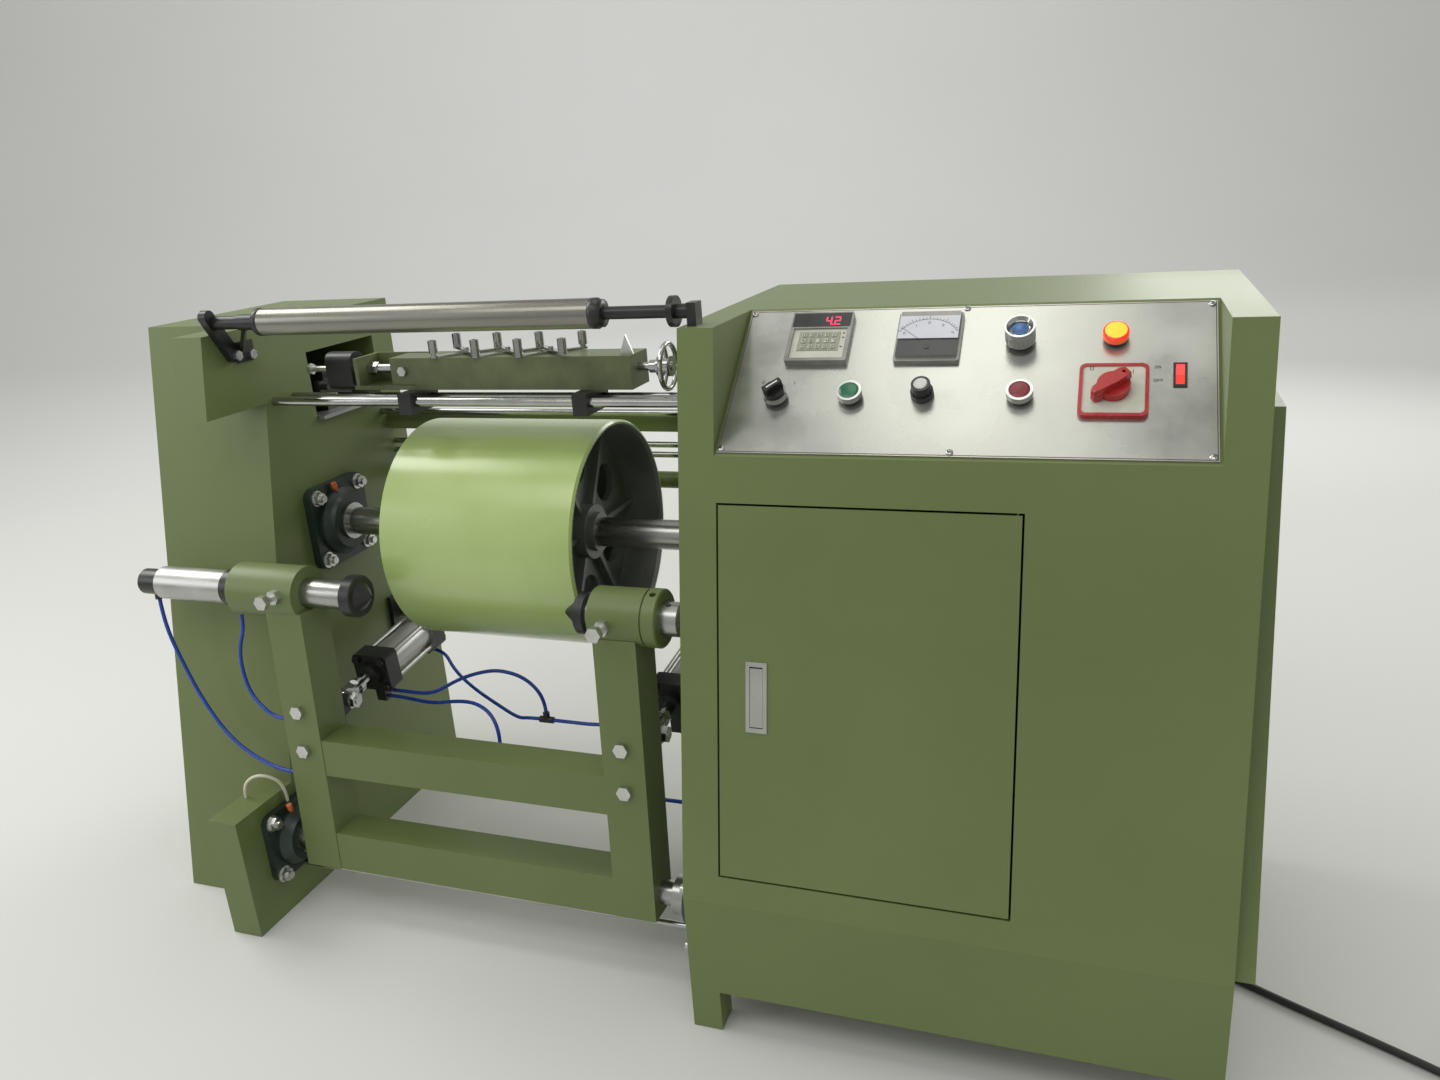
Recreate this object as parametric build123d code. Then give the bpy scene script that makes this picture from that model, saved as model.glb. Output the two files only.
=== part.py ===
from build123d import *
import math
import os

os.makedirs("parts", exist_ok=True)

# Sizes in mm. x runs left to right, y front to back, z up. In this file x = 0 is the inner
# wall of the cabinet, y = 0 the front of the feet and z = 0 the floor.

# overall
span = 725.0          # clear width between the column and the cabinet
cab_w = 650.0         # cabinet width
top_z = 914.0         # height of cabinet and column
drum_y, drum_z = 345.0, 577.0   # drum axis
drum_r = 171.0
rear_room = 61.0      # from the drum to the rear plane
rear_y = drum_y + drum_r + rear_room
bend_z = 202.0        # the cabinet front leans back above this height
lean = math.degrees(math.atan(0.1884))
base_z = 61.0         # cabinet floor above the ground
sheet = 3.0           # cabinet sheet
foot_w = 40.0         # square legs under the cabinet
gap = 0.3             # running clearance
frame_t = 53.0        # thickness of the left side frame
cover_w = 167.0       # width of the column cover outside it
col_y = 88.0          # column front at the floor
foot_h = 203.0        # height of the forward foot of the side frame

# console in the recess of the cabinet
rec_x0, rec_x1 = 46.0, 606.0
rec_z = top_z - 146.0   # lower edge of the sloping console
rec_top_y = 285.0     # where the console slope reaches the cabinet top
plate_t = 2.0
bezel_r = 15.0

# door
door_x0, door_x1 = 51.0, 407.0
door_z0, door_z1 = 241.0, rec_z - 61.0
door_gap = 2.6
door_fold = 15.0
door_t = 2.5

# drum and its shaft
drum_wall = 8.0
drum_gap_l, drum_gap_r = 210.0, 200.0
disc_in = 65.0        # end disc behind the drum rim
hub_r = 42.0
shaft_r = 22.5
bore_r = 30.4         # bore of the large flange bearing
small_bore_r = 27.4   # bore of the pivot bearings

# swinging clamp frame
piv_y, piv_z = 105.0, 124.0
swing_lean = 3.0      # degrees back from upright at rest
tube = 62.0           # square tube
up_l = 53.0           # left upright from the column wall
up_r = 77.0           # right upright from the cabinet wall
arm_s = 414.5         # pivot to clamp axis
bar_s0, bar_s1 = 130.0, 188.0
quill_r = 22.0
sleeve_r = 40.0

# push cylinders
pin_y, pin_z = 187.0, 330.0
rear_pin_y, rear_pin_z = 455.0, 358.0
cyl_rise = 5.506      # degrees of the cylinder axis at rest, front end lower
cyl_len = 268.6       # rear pin to rod eye at rest
stroke = 74.5

# guide roll, carriage and rods
roll_y, roll_z, roll_r = 160.0, top_z + 17.0, 19.0
rod_y, rod_z, rod_r = 258.0, top_z - 117.0, 7.0
rod2_y, rod2_r = 302.0, 5.0
beam_l, beam_r = 140.0, 128.0
beam_y0, beam_y1 = 275.0, 335.0
beam_z0, beam_z1 = top_z - 103.0, top_z - 56.0
win_y0, win_y1 = rear_y - 230.0, rear_y - 56.0
win_z0, win_z1 = top_z - 167.0, top_z - 57.0

XL = -span            # face of the column wall
COS, SIN = math.cos(math.radians(lean)), math.sin(math.radians(lean))
rec_y = (rec_z - bend_z) * math.tan(math.radians(lean))
con_tilt = math.degrees(math.atan2(top_z - rec_z, rec_top_y - rec_y))
con_len = math.hypot(top_z - rec_z, rec_top_y - rec_y)


def front_y(z):
    # front plane of the cabinet above the bend
    return max(0.0, (z - bend_z) * math.tan(math.radians(lean)))


def col_front(z):
    # front plane of the column
    return col_y + z * math.tan(math.radians(lean))


def bx(x0, x1, y0, y1, z0, z1):
    return Pos((x0 + x1) / 2, (y0 + y1) / 2, (z0 + z1) / 2) * Box(x1 - x0, y1 - y0, z1 - z0)


def cx(y, z, r, x0, x1):
    return Pos((x0 + x1) / 2, y, z) * Rot(0, 90, 0) * Cylinder(r, x1 - x0)


def cy(x, z, r, y0, y1):
    return Pos(x, (y0 + y1) / 2, z) * Rot(90, 0, 0) * Cylinder(r, y1 - y0)


def cz(x, y, r, z0, z1):
    return Pos(x, y, (z0 + z1) / 2) * Cylinder(r, z1 - z0)


def slab(pts, x0, x1):
    # a polygon given as (y, z) points, made solid from x0 to x1
    face = make_face(Polyline(*pts, close=True))
    return Pos(x0, 0, 0) * extrude(Plane.YZ * face, x1 - x0, dir=(1, 0, 0))


def turned(pts, y, z):
    # a profile given as (x, r) points, turned about the line y, z along x
    face = make_face(Polyline(*pts, close=True))
    return Pos(0, y, z) * revolve(face, Axis.X)


def hexagon(af, h):
    return extrude(RegularPolygon(af / 2, 6, major_radius=False), h)


def tubing(pts, r):
    # a hose or cord through the points, with arcs as large as the runs allow
    v = [Vector(*p) for p in pts]
    radii = []
    for a, b, c in zip(v, v[1:], v[2:]):
        turn = math.radians((b - a).get_angle(c - b))
        radii.append(0.45 * min((b - a).length, (c - b).length) / math.tan(turn / 2))
    path = FilletPolyline(*v, radius=radii)
    start = Plane(origin=v[0], z_dir=(v[1] - v[0]))
    return sweep(start * Circle(r), path=path)


FRONT = Pos(0, 0, bend_z) * Rot(-lean, 0, 0)         # x across, y into the cabinet, z up the lean
DESK = Pos(0, rec_y, rec_z) * Rot(con_tilt, 0, 0)    # x across, y up the slope, z out of it
SWING = Pos(0, piv_y, piv_z) * Rot(-swing_lean, 0, 0)
CYL = Pos(0, rear_pin_y, rear_pin_z) * Rot(cyl_rise, 0, 0)   # -y runs to the front along the axis

parts = {}

# cabinet
full = [(0, base_z), (0, bend_z), (front_y(top_z), top_z), (rear_y, top_z), (rear_y, base_z)]


def inside(pts, d):
    # the same outline moved in by d on every side
    f = make_face(Polyline(*pts, close=True))
    return offset(f, amount=-d, kind=Kind.INTERSECTION)


def slab_face(face, x0, x1):
    return Pos(x0, 0, 0) * extrude(Plane.YZ * face, x1 - x0, dir=(1, 0, 0))


shell = slab(full, 0, cab_w)
recess = DESK * bx(rec_x0, rec_x1, -40, con_len + 60, -plate_t, 220)
shell -= recess
shell -= slab_face(inside(full, sheet), sheet, rec_x0 - sheet)
shell -= slab_face(inside(full, sheet), rec_x1 + sheet, cab_w - sheet)
low = DESK * bx(0, cab_w, -200, con_len + 200, -plate_t - sheet, 300)
shell -= slab_face(inside(full, sheet), sheet, cab_w - sheet) - low
u0, u1 = (door_z0 - bend_z) / COS, (door_z1 - bend_z) / COS
hole = FRONT * bx(door_x0 - door_gap, door_x1 + door_gap, -20, 40, u0 - door_gap, u1 + door_gap)
rim = FRONT * bx(door_x0 - door_gap - 3, door_x1 + door_gap + 3, 0, 24, u0 - door_gap - 3,
                 u1 + door_gap + 3)
shell = shell + rim - hole
hinge_x, hinge_d = door_x1 - 5.0, 5.0
shell -= FRONT * cz(hinge_x, hinge_d, 1.8 + gap, u0 - 8, u1 + 8)
for x in (0, cab_w - foot_w):
    for y in (0, rear_y - foot_w):
        shell += bx(x, x + foot_w, y, y + foot_w, 0, base_z)

# holes for the console devices, as (x, up the slope)
DEVICES = {"selector": (108.5, 84), "green": (200, 86), "speed": (285, 90), "red": (395.5, 87),
           "blue": (390.5, 169.5), "lamp": (495.5, 172)}
COUNTER, METER, ISOLATOR, ROCKER = (148, 176), (283, 175), (495.3, 94), (564, 118)
holes = Part()
for name, (x, y) in DEVICES.items():
    holes += cz(x, y, 11.0 + 0.2, -30, 5)
holes += bx(COUNTER[0] - 34, COUNTER[0] + 34, COUNTER[1] - 34, COUNTER[1] + 34, -30, 5)
holes += cz(METER[0], METER[1] - 4, 28, -30, 5)
holes += cz(*ISOLATOR, 9, -30, 5)
holes += bx(ROCKER[0] - 6.1, ROCKER[0] + 6.1, ROCKER[1] - 14.6, ROCKER[1] + 14.6, -30, 5)
shell -= DESK * holes
plate = bx(rec_x0 + 3, rec_x1 - 3, 2, con_len - 3, -plate_t, 0) - holes
parts["console_plate"] = DESK * plate

# belt guard on the right side
guard_z0, guard_z1, guard_t = bend_z, rec_z + 40.0, 22.0
guard_y0, guard_rise = 11.0, 0.31     # its front edge at the foot and its lean
guard = slab([(guard_y0, guard_z0), (guard_y0 + guard_rise * (guard_z1 - guard_z0), guard_z1),
              (win_y1, guard_z1), (win_y1, guard_z0)], cab_w, cab_w + guard_t)
parts["belt_guard"] = guard

# door and latch
leaf = bx(door_x0, door_x1, 0, door_fold, u0, u1)
leaf -= bx(door_x0 + 2, door_x1 - 2, door_t, door_fold + 1, u0 + 2, u1 - 2)
leaf += cz(hinge_x, hinge_d, 1.8, u0 - 4.5, u0 + 1)
leaf += cz(hinge_x, hinge_d, 1.8, u1 - 1, u1 + 4.5)
lx0, lx1 = door_x0 + 35, door_x0 + 62
lu0, lu1 = (431 - bend_z) / COS, (519 - bend_z) / COS
leaf -= bx(lx0 + 3, lx1 - 3, -1, 5, lu0 + 3, lu1 - 3)
parts["cabinet_door"] = FRONT * leaf
case = bx(lx0, lx1, -1.5, 0, lu0, lu1) + bx(lx0 + 3.1, lx1 - 3.1, 0, 12, lu0 + 3.1, lu1 - 3.1)
case -= bx(lx0 + 5, lx1 - 5, -2, 10, lu0 + 6, lu1 - 6)
case += cx(2.5, lu1 - 10, 1.0, lx0 + 4, lx1 - 4)
case += bx(lx0 + 3.1, lx1 - 8, 12, 14, lu0 + 30, lu0 + 45)
parts["latch_case"] = FRONT * case
paddle = bx(lx0 + 5.4, lx1 - 5.4, -0.9, 1.1, lu0 + 7, lu1 - 8)
paddle += bx(lx0 + 5.4, lx1 - 5.4, 1.1, 4.6, lu1 - 13, lu1 - 8)
paddle -= cx(2.5, lu1 - 10, 1.0 + 0.25, lx0, lx1)
parts["latch_paddle"] = FRONT * paddle

# console devices
cxm, cym = COUNTER
box_c = fillet(bx(cxm - 39, cxm + 39, cym - 39.5, cym + 39.5, 0, 9).edges().filter_by(Axis.Z), 2)
box_c -= bx(cxm - 34, cxm + 34, cym - 35, cym + 13, 6.5, 10)
box_c += bx(cxm - 33.8, cxm + 33.8, cym - 33.8, cym + 33.8, -28, 0)
box_c += bx(cxm - 26, cxm + 26, cym - 22, cym + 8, 6.5, 7.3)
for i in range(5):
    for j in range(3):
        kx, ky = cxm - 19 + 9.5 * i, cym - 16.5 + 9.5 * j
        box_c += bx(kx - 2.6, kx + 2.6, ky - 3, ky + 3, 7.3, 8.3)
parts["preset_counter"] = DESK * box_c
mxm, mym = METER
box_m = fillet(bx(mxm - 39, mxm + 39, mym - 38, mym + 38, 0, 6).edges().filter_by(Axis.Z), 3)
box_m += bx(mxm - 36, mxm + 36, mym - 8, mym + 35, 6, 12)
box_m += bx(mxm - 36, mxm + 36, mym - 33, mym - 9, 6, 10.5)
box_m += cz(mxm, mym - 4, 27.8, -26, 0) + cz(mxm, mym - 20, 3.5, 10.5, 11.5)
box_m -= bx(mxm - 3, mxm + 3, mym - 20.5, mym - 19.5, 11.0, 12)
parts["panel_meter"] = DESK * box_m
collar_r, collar_h = 13.6, 6.0        # dark collar between the plate and the bright ring
x, y = DEVICES["lamp"]
lamp = cz(x, y, collar_r, 0, collar_h) + cz(x, y, 11.0, -28, 0)
lamp += Pos(x, y, 0) * revolve(make_face(Polyline(
    (0, 6), (14.4, 6), (14.4, 13), (13.8, 14.6), (12.0, 15.4), (0, 15.6), close=True)), Axis.Y).rotate(
        Axis.X, 90)
parts["signal_lamp"] = DESK * lamp

rings = Part()
# ring radius and top, seat of the cap and top of the cap
RINGS = {"green": (bezel_r, 14.0, 9.8, 14.8), "red": (bezel_r, 14.0, 9.8, 14.8),
         "blue": (bezel_r + 2.3, 27.5, 18.5, 22.0)}
for name, (ring_r, ring_h, seat, cap_h) in RINGS.items():
    x, y = DEVICES[name]
    rings += cz(x, y, collar_r, 0, collar_h) + cz(x, y, ring_r, collar_h, ring_h)
    rings += cz(x, y, 11.0, -28, 0)
    rings -= cz(x, y, 12.0, seat, ring_h + 1) + cz(x, y, 5.0 + gap, -6, ring_h)
x, y = DEVICES["blue"]
ring_r, ring_h = RINGS["blue"][:2]
for k in range(20):
    rings -= Pos(x, y, 0) * Rot(0, 0, 18 * k) * cz(ring_r + 0.5, 0, 1.3, 8, 18)
rings -= Pos(x, y, 0) * revolve(make_face(Polyline(
    (0, ring_h - 4), (12.0, ring_h - 4), (ring_r - 2, ring_h + 0.1), (0, ring_h + 0.1),
    close=True)), Axis.Y).rotate(Axis.X, 90)
sel_h = 14.0                    # top of the selector's ring
for name in ("selector", "speed"):
    x, y = DEVICES[name]
    if name == "selector":
        rings += cz(x, y, collar_r, 0, collar_h) + cz(x, y, bezel_r, collar_h, sel_h)
    else:
        rings += cz(x, y, collar_r, 0, 2.4)
    rings += cz(x, y, 11.0, -28, 0)
    rings -= cz(x, y, 5.0 + gap, -6, sel_h + 1)
x, y = ROCKER
frame_r = bx(x - 7.3, x + 7.3, y - 17, y + 17, 0, 1.6) + bx(x - 5.9, x + 5.9, y - 14.4, y + 14.4, -16, 0)
frame_r -= bx(x - 4.8, x + 4.8, y - 13.6, y + 13.6, -9, 3)
frame_r += cx(y, -1.5, 1.0, x - 5.4, x + 5.4)
rings += frame_r
parts["button_bezels"] = DESK * rings

for name, (ring_r, ring_h, seat, cap_h) in RINGS.items():
    x, y = DEVICES[name]
    low = seat + 2.6                # the cap stands this far off its seat, for its travel
    cap = Pos(x, y, 0) * revolve(make_face(Polyline(
        (0, low), (12.0 - gap, low), (12.0 - gap, cap_h - 0.8), (9.5, cap_h), (0, cap_h + 0.5),
        close=True)), Axis.Y).rotate(Axis.X, 90)
    cap += cz(x, y, 5.0, -2.5, low)
    parts[name + "_button"] = DESK * cap
x, y = DEVICES["selector"]
sel_z = sel_h + 0.3
sel = cz(x, y, 12.6, sel_z, sel_z + 4.8) + cz(x, y, 5.0, -4, sel_z)
sel += Pos(x, y, sel_z) * Rot(0, 0, -48) * extrude(
    make_face(Polyline((-4.6, -12.0), (4.6, -12.0), (3.6, 12.0), (-3.6, 12.0), close=True)), 13.7)
parts["selector_knob"] = DESK * sel
x, y = DEVICES["speed"]
knob = cz(x, y, 13.4, 2.7, 8) + cz(x, y, 5.0, -4, 2.7)
knob += Pos(x, y, 8) * extrude(Circle(12.0), 13, taper=4)
for k in range(14):
    knob -= Pos(x, y, 0) * Rot(0, 0, 360 / 14 * k) * cz(12.8, 0, 1.7, 8, 22)
parts["speed_knob"] = DESK * knob
x, y = ISOLATOR
iso = fillet(bx(x - 36.8, x + 36.8, y - 37, y + 37, 0, 6).edges().filter_by(Axis.Z), 8)
iso -= fillet(bx(x - 32.8, x + 32.8, y - 33, y + 33, 4.8, 7).edges().filter_by(Axis.Z), 5)
iso += cz(x, y, 17.0, 4.8, 8) + cz(x, y, 8.8, -34, 0)
iso -= cz(x, y, 5.0 + gap, -6, 10)
parts["isolator_plate"] = DESK * iso
grip = cz(0, 0, 17.8, 8.3, 15.5) + cz(0, 0, 5.0, -4, 8.3)
wedge = Rot(90, 0, 0) * extrude(make_face(Polyline(
    (-26.5, 6.6), (-28.5, 9), (-28, 23.5), (-25.5, 26), (12, 26.5), (19, 24.5), (20, 15), (16, 12),
    (-10, 12), (-18.6, 9.5), (-18.6, 6.6), close=True)), 9, both=True)
grip += wedge & extrude(make_face(Polyline(
    (-29, -2.4), (-24, -4.4), (0, -7.4), (12, -6.8), (20.5, -4.6), (20.5, 4.6), (12, 6.8), (0, 7.4),
    (-24, 4.4), (-29, 2.4), close=True)), 40)
grip -= cz(13, 0, 2.0, 20, 30)
parts["isolator_knob"] = DESK * Pos(x, y, 0) * Rot(0, 0, 40) * grip
x, y = ROCKER
rock_tilt = 8.0
pts = [(-12.6, 4.2), (0, 2.2), (12.6, 4.2), (11.8, -4.4), (0, -5.2), (-11.8, -4.4)]
rock = slab(pts, x - 4.5, x + 4.5) - cx(0, 0, 1.0 + gap, x - 10, x + 10)
parts["rocker_switch"] = DESK * Pos(0, y, -1.5) * Rot(rock_tilt, 0, 0) * rock

# left side frame and cover
side_pts = [(0, 0), (0, foot_h), (col_front(foot_h), foot_h), (col_front(top_z), top_z),
            (rear_y, top_z), (rear_y, 0)]
side = slab(side_pts, XL - frame_t, XL)
ear_z0 = top_z - 117.0
side += slab([(col_front(ear_z0) - 122, ear_z0), (col_front(top_z) - 122, top_z),
              (col_front(top_z) + 5, top_z), (col_front(ear_z0) + 5, ear_z0)], XL - frame_t, XL)
side -= bx(XL - frame_t - 1, XL + 1, win_y0, win_y1, win_z0, win_z1)
parts["left_side_frame"] = side
cover_x0 = XL - frame_t - cover_w
cover = slab([(col_y, 0), (col_front(top_z), top_z), (rear_y, top_z), (rear_y, 0)],
             cover_x0, XL - frame_t)
cover -= bx(XL - frame_t - 110, XL - frame_t + 1, win_y0, win_y1, win_z0, win_z1)
parts["left_column_cover"] = cover

# reciprocating drive behind the window
drive = bx(XL - 24, XL + 12, win_y0 + 2, win_y1 - 2, win_z0, win_z0 + 6)
drive += bx(XL - 60, XL - 12, win_y0 + 45, win_y0 + 112, win_z0 + 6, win_z0 + 80)
drive += cx(win_y0 + 78, win_z0 + 50, 13, XL - 12, XL + 4)
drive += cx(win_y0 + 78, win_z0 + 50, 6, XL + 4, XL + 16)
drive += bx(XL - 12, XL - 2, win_y0 + 20, win_y0 + 78, win_z0 + 40, win_z0 + 58)
drive += cx(win_y0 + 26, win_z0 + 49, 5, XL - 2, XL + 12)
parts["traverse_drive"] = drive

# tie beams and rods
rear_in = 37.0        # rear rods in front of the rear plane
ties = bx(XL, 0, rear_y - 50, rear_y - 25, drum_z + 113, drum_z + 138)
ties += cx(rear_y - rear_in, drum_z + 28, 14, XL, 0)
parts["rear_tie_beams"] = ties
yarn_y, yarn_z = rear_y - 62.0, drum_z + 147.0
rods = cx(rod_y, rod_z, rod_r, XL, 0) + cx(rod2_y, rod_z, rod2_r, XL, 0)
rods += cx(yarn_y, yarn_z, 6, XL, 0)
rods += cx(rear_y - rear_in, drum_z + 88, 5, XL, 0) + cx(rear_y - rear_in, drum_z + 71, 5, XL, 0)
rods += cx(piv_y, piv_z - 53.5, 5, XL + 12, -12)     # low rod between the pivot bearings
parts["guide_rods"] = rods


def flange(sq, boss, bore, pitch, t, depth):
    # flange bearing housing, its foot face at x = 0 and its boss towards +x
    f = Pos(t / 2, 0, 0) * Box(t, sq, sq)
    f = fillet(f.edges().filter_by(Axis.X), sq * 0.13)
    f += turned([(t, 0), (t, boss), (t + 6, boss), (depth - 6, boss * 0.86), (depth, boss * 0.8),
                 (depth, 0)], 0, 0)
    f -= cx(0, 0, bore, -1, depth + 1)
    for sy in (-1, 1):
        for sz in (-1, 1):
            f += Pos(t, sy * pitch / 2, sz * pitch / 2) * Rot(0, 90, 0) * hexagon(19, 10)
            f += cx(sy * pitch / 2, sz * pitch / 2, 13, t, t + 2)
            f += cx(sy * pitch / 2, sz * pitch / 2, 6, t, t + 16)
    # grease nipple with its cap on top of the boss
    nip = cz(0, 0, 3.2, boss - 8, boss + 5) + cz(0, 0, 4.4, boss + 5, boss + 14)
    f += Pos(t + 7, 0, 0) * Rot(12, 0, 0) * nip
    return f


big = flange(137, 56, bore_r, 105, 14, 34)
small = flange(117, 48, small_bore_r, 92, 12, 34)
parts["flange_bearings"] = Part() + [
    Pos(XL, drum_y, drum_z) * big, Pos(0, drum_y, drum_z) * Rot(0, 180, 0) * big,
    Pos(XL, piv_y, piv_z) * small, Pos(0, piv_y, piv_z) * Rot(0, 180, 0) * small]

# drum
dx0, dx1 = XL + drum_gap_l, -drum_gap_r
ri = drum_r - drum_wall


def drum_end(x, s):
    # disc and hub seen from outside; s is -1 at the left end
    d = turned([(x, 0), (x, ri + 1), (x - s * 10, ri + 1), (x - s * 10, 0)], drum_y, drum_z)
    d += turned([(x - s * 20, 0), (x - s * 20, hub_r), (x + s * 22, hub_r), (x + s * 22, 30),
                 (x + s * 31, 30), (x + s * 31, 0)], drum_y, drum_z)
    for k in range(6):
        at = math.radians(60 * k + 30)
        d -= cx(drum_y + 104 * math.cos(at), drum_z + 104 * math.sin(at), 30, x - 12, x + 12)
        rib = bx(min(x, x + s * 12), max(x, x + s * 12), 36, ri + 0.5, -4, 4)
        d += Pos(0, drum_y, drum_z) * Rot(60 * k, 0, 0) * rib
    return d


drum = turned([(dx0, ri + 2), (dx0, drum_r - 3), (dx0 + 3, drum_r), (dx1 - 3, drum_r),
               (dx1, drum_r - 3), (dx1, ri + 2), (dx1 - 6, ri), (dx0 + 6, ri)], drum_y, drum_z)
drum += drum_end(dx1 - disc_in, 1) + drum_end(dx0 + disc_in, -1)
drum -= cx(drum_y, drum_z, shaft_r + 0.1, dx0 - 1, dx1 + 1)
parts["drum"] = drum
ring_r = bore_r - gap
shaft = turned([(XL + 1, 0), (XL + 1, shaft_r - 2), (XL + 3, shaft_r), (XL + 6, shaft_r),
                (XL + 6, ring_r), (XL + 39, ring_r), (XL + 39, shaft_r), (-39, shaft_r),
                (-39, ring_r), (-6, ring_r), (-6, shaft_r), (-3, shaft_r), (-1, shaft_r - 2),
                (-1, 0)], drum_y, drum_z)
parts["drum_shaft"] = shaft

# swinging clamp frame
ux0, ux1 = XL + up_l, XL + up_l + tube
vx0, vx1 = -up_r - tube, -up_r
h = tube / 2
sw = bx(ux0, ux1, -h, h, -h, arm_s - 24) + bx(vx0, vx1, -h, h, -h, arm_s - 24)
sw += bx(ux1, vx0, -h + 1, h - 1, -h, h) + bx(ux1, vx0, -h + 1, h - 1, bar_s0, bar_s1)
sl0, sl1 = XL - 9, XL + 110
sr0, sr1 = -143.0, -64.0
sw += cx(0, arm_s, sleeve_r, sl0, sl1)
sw += turned([(sr0, 0), (sr0, 37), (sr0 + 2, 38.5), (sr1 - 3, 38.5), (sr1 - 3, 36.5), (sr1, 36.5),
              (sr1, 39.5), (-47, 39.5), (-45, 37.5), (-45, 0)], 0, arm_s)
sw -= cx(0, arm_s, quill_r + gap, sl0 - 1, sl1 + 1)
sw -= cx(0, arm_s, quill_r + 1 + gap, sr0 - 1, -40)
for xs, ss in (((ux0 + ux1) / 2, arm_s + 5), ((vx0 + vx1) / 2 - 9, arm_s - 3)):
    sw += Pos(xs, -sleeve_r + 4, ss) * Rot(90, 0, 0) * hexagon(19, 12)
    sw += Pos(xs, -sleeve_r, ss) * Rot(90, 0, 0) * cz(0, 0, 5, 0, 24)
    sw += Pos(xs, -sleeve_r - 22, ss) * Rot(90, 0, 0) * hexagon(19, 10)
sw -= Pos(-55, 0, arm_s) * Rot(20, 0, 0) * cz(0, 0, 4.5, 32, 45)
for xc in ((ux0 + ux1) / 2, (vx0 + vx1) / 2):
    for s in (bar_s1 + 46, bar_s1 - 18):
        sw += Pos(xc, -h, s) * Rot(90, 0, 0) * hexagon(19, 8)
parts["swing_frame"] = SWING * sw

# stub shafts, rod lugs and pins on the swinging frame
stub = turned([(XL + 1, 0), (XL + 1, 17.5), (XL + 6, 17.5), (XL + 6, small_bore_r - gap),
               (XL + 38, small_bore_r - gap), (XL + 38, 17.5), (ux0, 17.5), (ux0, 0)], 0, 0)
stub += turned([(vx1, 0), (vx1, 17.5), (-54, 17.5), (-54, small_bore_r - gap),
                (-6, small_bore_r - gap), (-6, 17.5), (-1, 17.5), (-1, 0)], 0, 0)
a = math.radians(swing_lean)
pd = (pin_y - piv_y) * math.cos(a) - (pin_z - piv_z) * math.sin(a)
ps = (pin_y - piv_y) * math.sin(a) + (pin_z - piv_z) * math.cos(a)
for xc in ((ux0 + ux1) / 2, (vx0 + vx1) / 2):
    for side_x in (-1, 1):
        xa, xb = sorted((xc + side_x * 9.5, xc + side_x * 15.5))
        stub += slab([(h, ps - 24), (h, ps + 24), (pd - 4, ps + 14), (pd + 13, ps + 8),
                      (pd + 13, ps - 8), (pd - 4, ps - 14)], xa, xb)
    stub += bx(xc - 26, xc + 26, h, h + 7, ps - 30, ps + 30)
    stub += cx(pd, ps, 6, xc - 27, xc + 27)
    for side_x in (-1, 1):
        xa, xb = sorted((xc + side_x * 15.5, xc + side_x * 17.5))
        stub += cx(pd, ps, 13, xa, xb)
        stub += Pos(min(xc + side_x * 17.5, xc + side_x * 25.5), pd, ps) * Rot(0, 90, 0) * hexagon(22, 8)
parts["swing_pivots"] = SWING * stub

# clamp cylinder behind the left quill, with a port near each end
cc = turned([(sl0 - 192, 0), (sl0 - 192, 17), (sl0 - 189, 20), (sl0 - 152, 20), (sl0 - 152, 25.5),
             (sl0 - 24, 25.5), (sl0 - 24, 28), (sl0, 28), (sl0, quill_r + gap),
             (sl0 - 130, quill_r + gap), (sl0 - 130, 0)], 0, arm_s)
cc += cz(sl0 - 172, 0, 6, arm_s - 28, arm_s - 16) + cz(sl0 - 14, 0, 5.5, arm_s - 36, arm_s - 24)
parts["clamp_cylinder"] = SWING * cc
lq0, lq1 = sl0 - 56, XL + 184
lq = turned([(lq0, 0), (lq0, quill_r), (lq1 - 2, quill_r), (lq1, quill_r - 2), (lq1, 0)], 0, arm_s)
lq += cx(0, arm_s, 9, lq1, lq1 + 13)
parts["left_quill"] = SWING * lq
head_l = 20.0         # length of a centre's head behind its ring face
tip_l = lq1 + head_l + 16
lc = turned([(lq1 + gap, 9 + gap), (lq1 + gap, 29), (lq1 + 2, 31), (lq1 + head_l - 1.5, 31),
             (lq1 + head_l, 29.5), (lq1 + head_l, 21), (tip_l - 1.5, 4.5), (tip_l, 3), (tip_l, 0),
             (lq1 + 13 + gap, 0), (lq1 + 13 + gap, 9 + gap)], 0, arm_s)
parts["left_center"] = SWING * lc
rq0, rq1 = -150.0 - 2, -20.0
rq = turned([(rq0, 0), (rq0, quill_r + 1), (rq1 - 2, quill_r + 1), (rq1, quill_r - 1), (rq1, 8),
             (rq1 - 12, 8), (rq1 - 12, 0)], 0, arm_s)
rq += cx(0, arm_s, 7, rq0 - 13, rq0)
rq -= Pos(-36, 0, arm_s) * Rot(20, 0, 0) * cz(0, 0, 3.5, 17, 25)
parts["right_quill"] = SWING * rq
face_r = rq0 - 16
tip_r = face_r - 22
rc = turned([(rq0 - gap, 7 + gap), (rq0 - gap, 27), (rq0 - 2, 29), (face_r + 2, 29), (face_r, 27),
             (face_r - 4, 18), (tip_r + 2, 5), (tip_r, 3), (tip_r, 0), (rq0 - 13 - gap, 0),
             (rq0 - 13 - gap, 7 + gap)], 0, arm_s)
parts["right_center"] = SWING * rc

# push cylinders
cap_w, cap_t = 65.0, 32.0
cap0 = cyl_len - 75.5             # front cap face from the rear pin
cap1 = 24.5                       # rear cap face from the rear pin


def rounded(x, w, r, y0, y1):
    # a square bar with rounded edges along y
    b = bx(x - w / 2, x + w / 2, y0, y1, -w / 2, w / 2)
    return fillet(b.edges().filter_by(Axis.Y), r)


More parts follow.
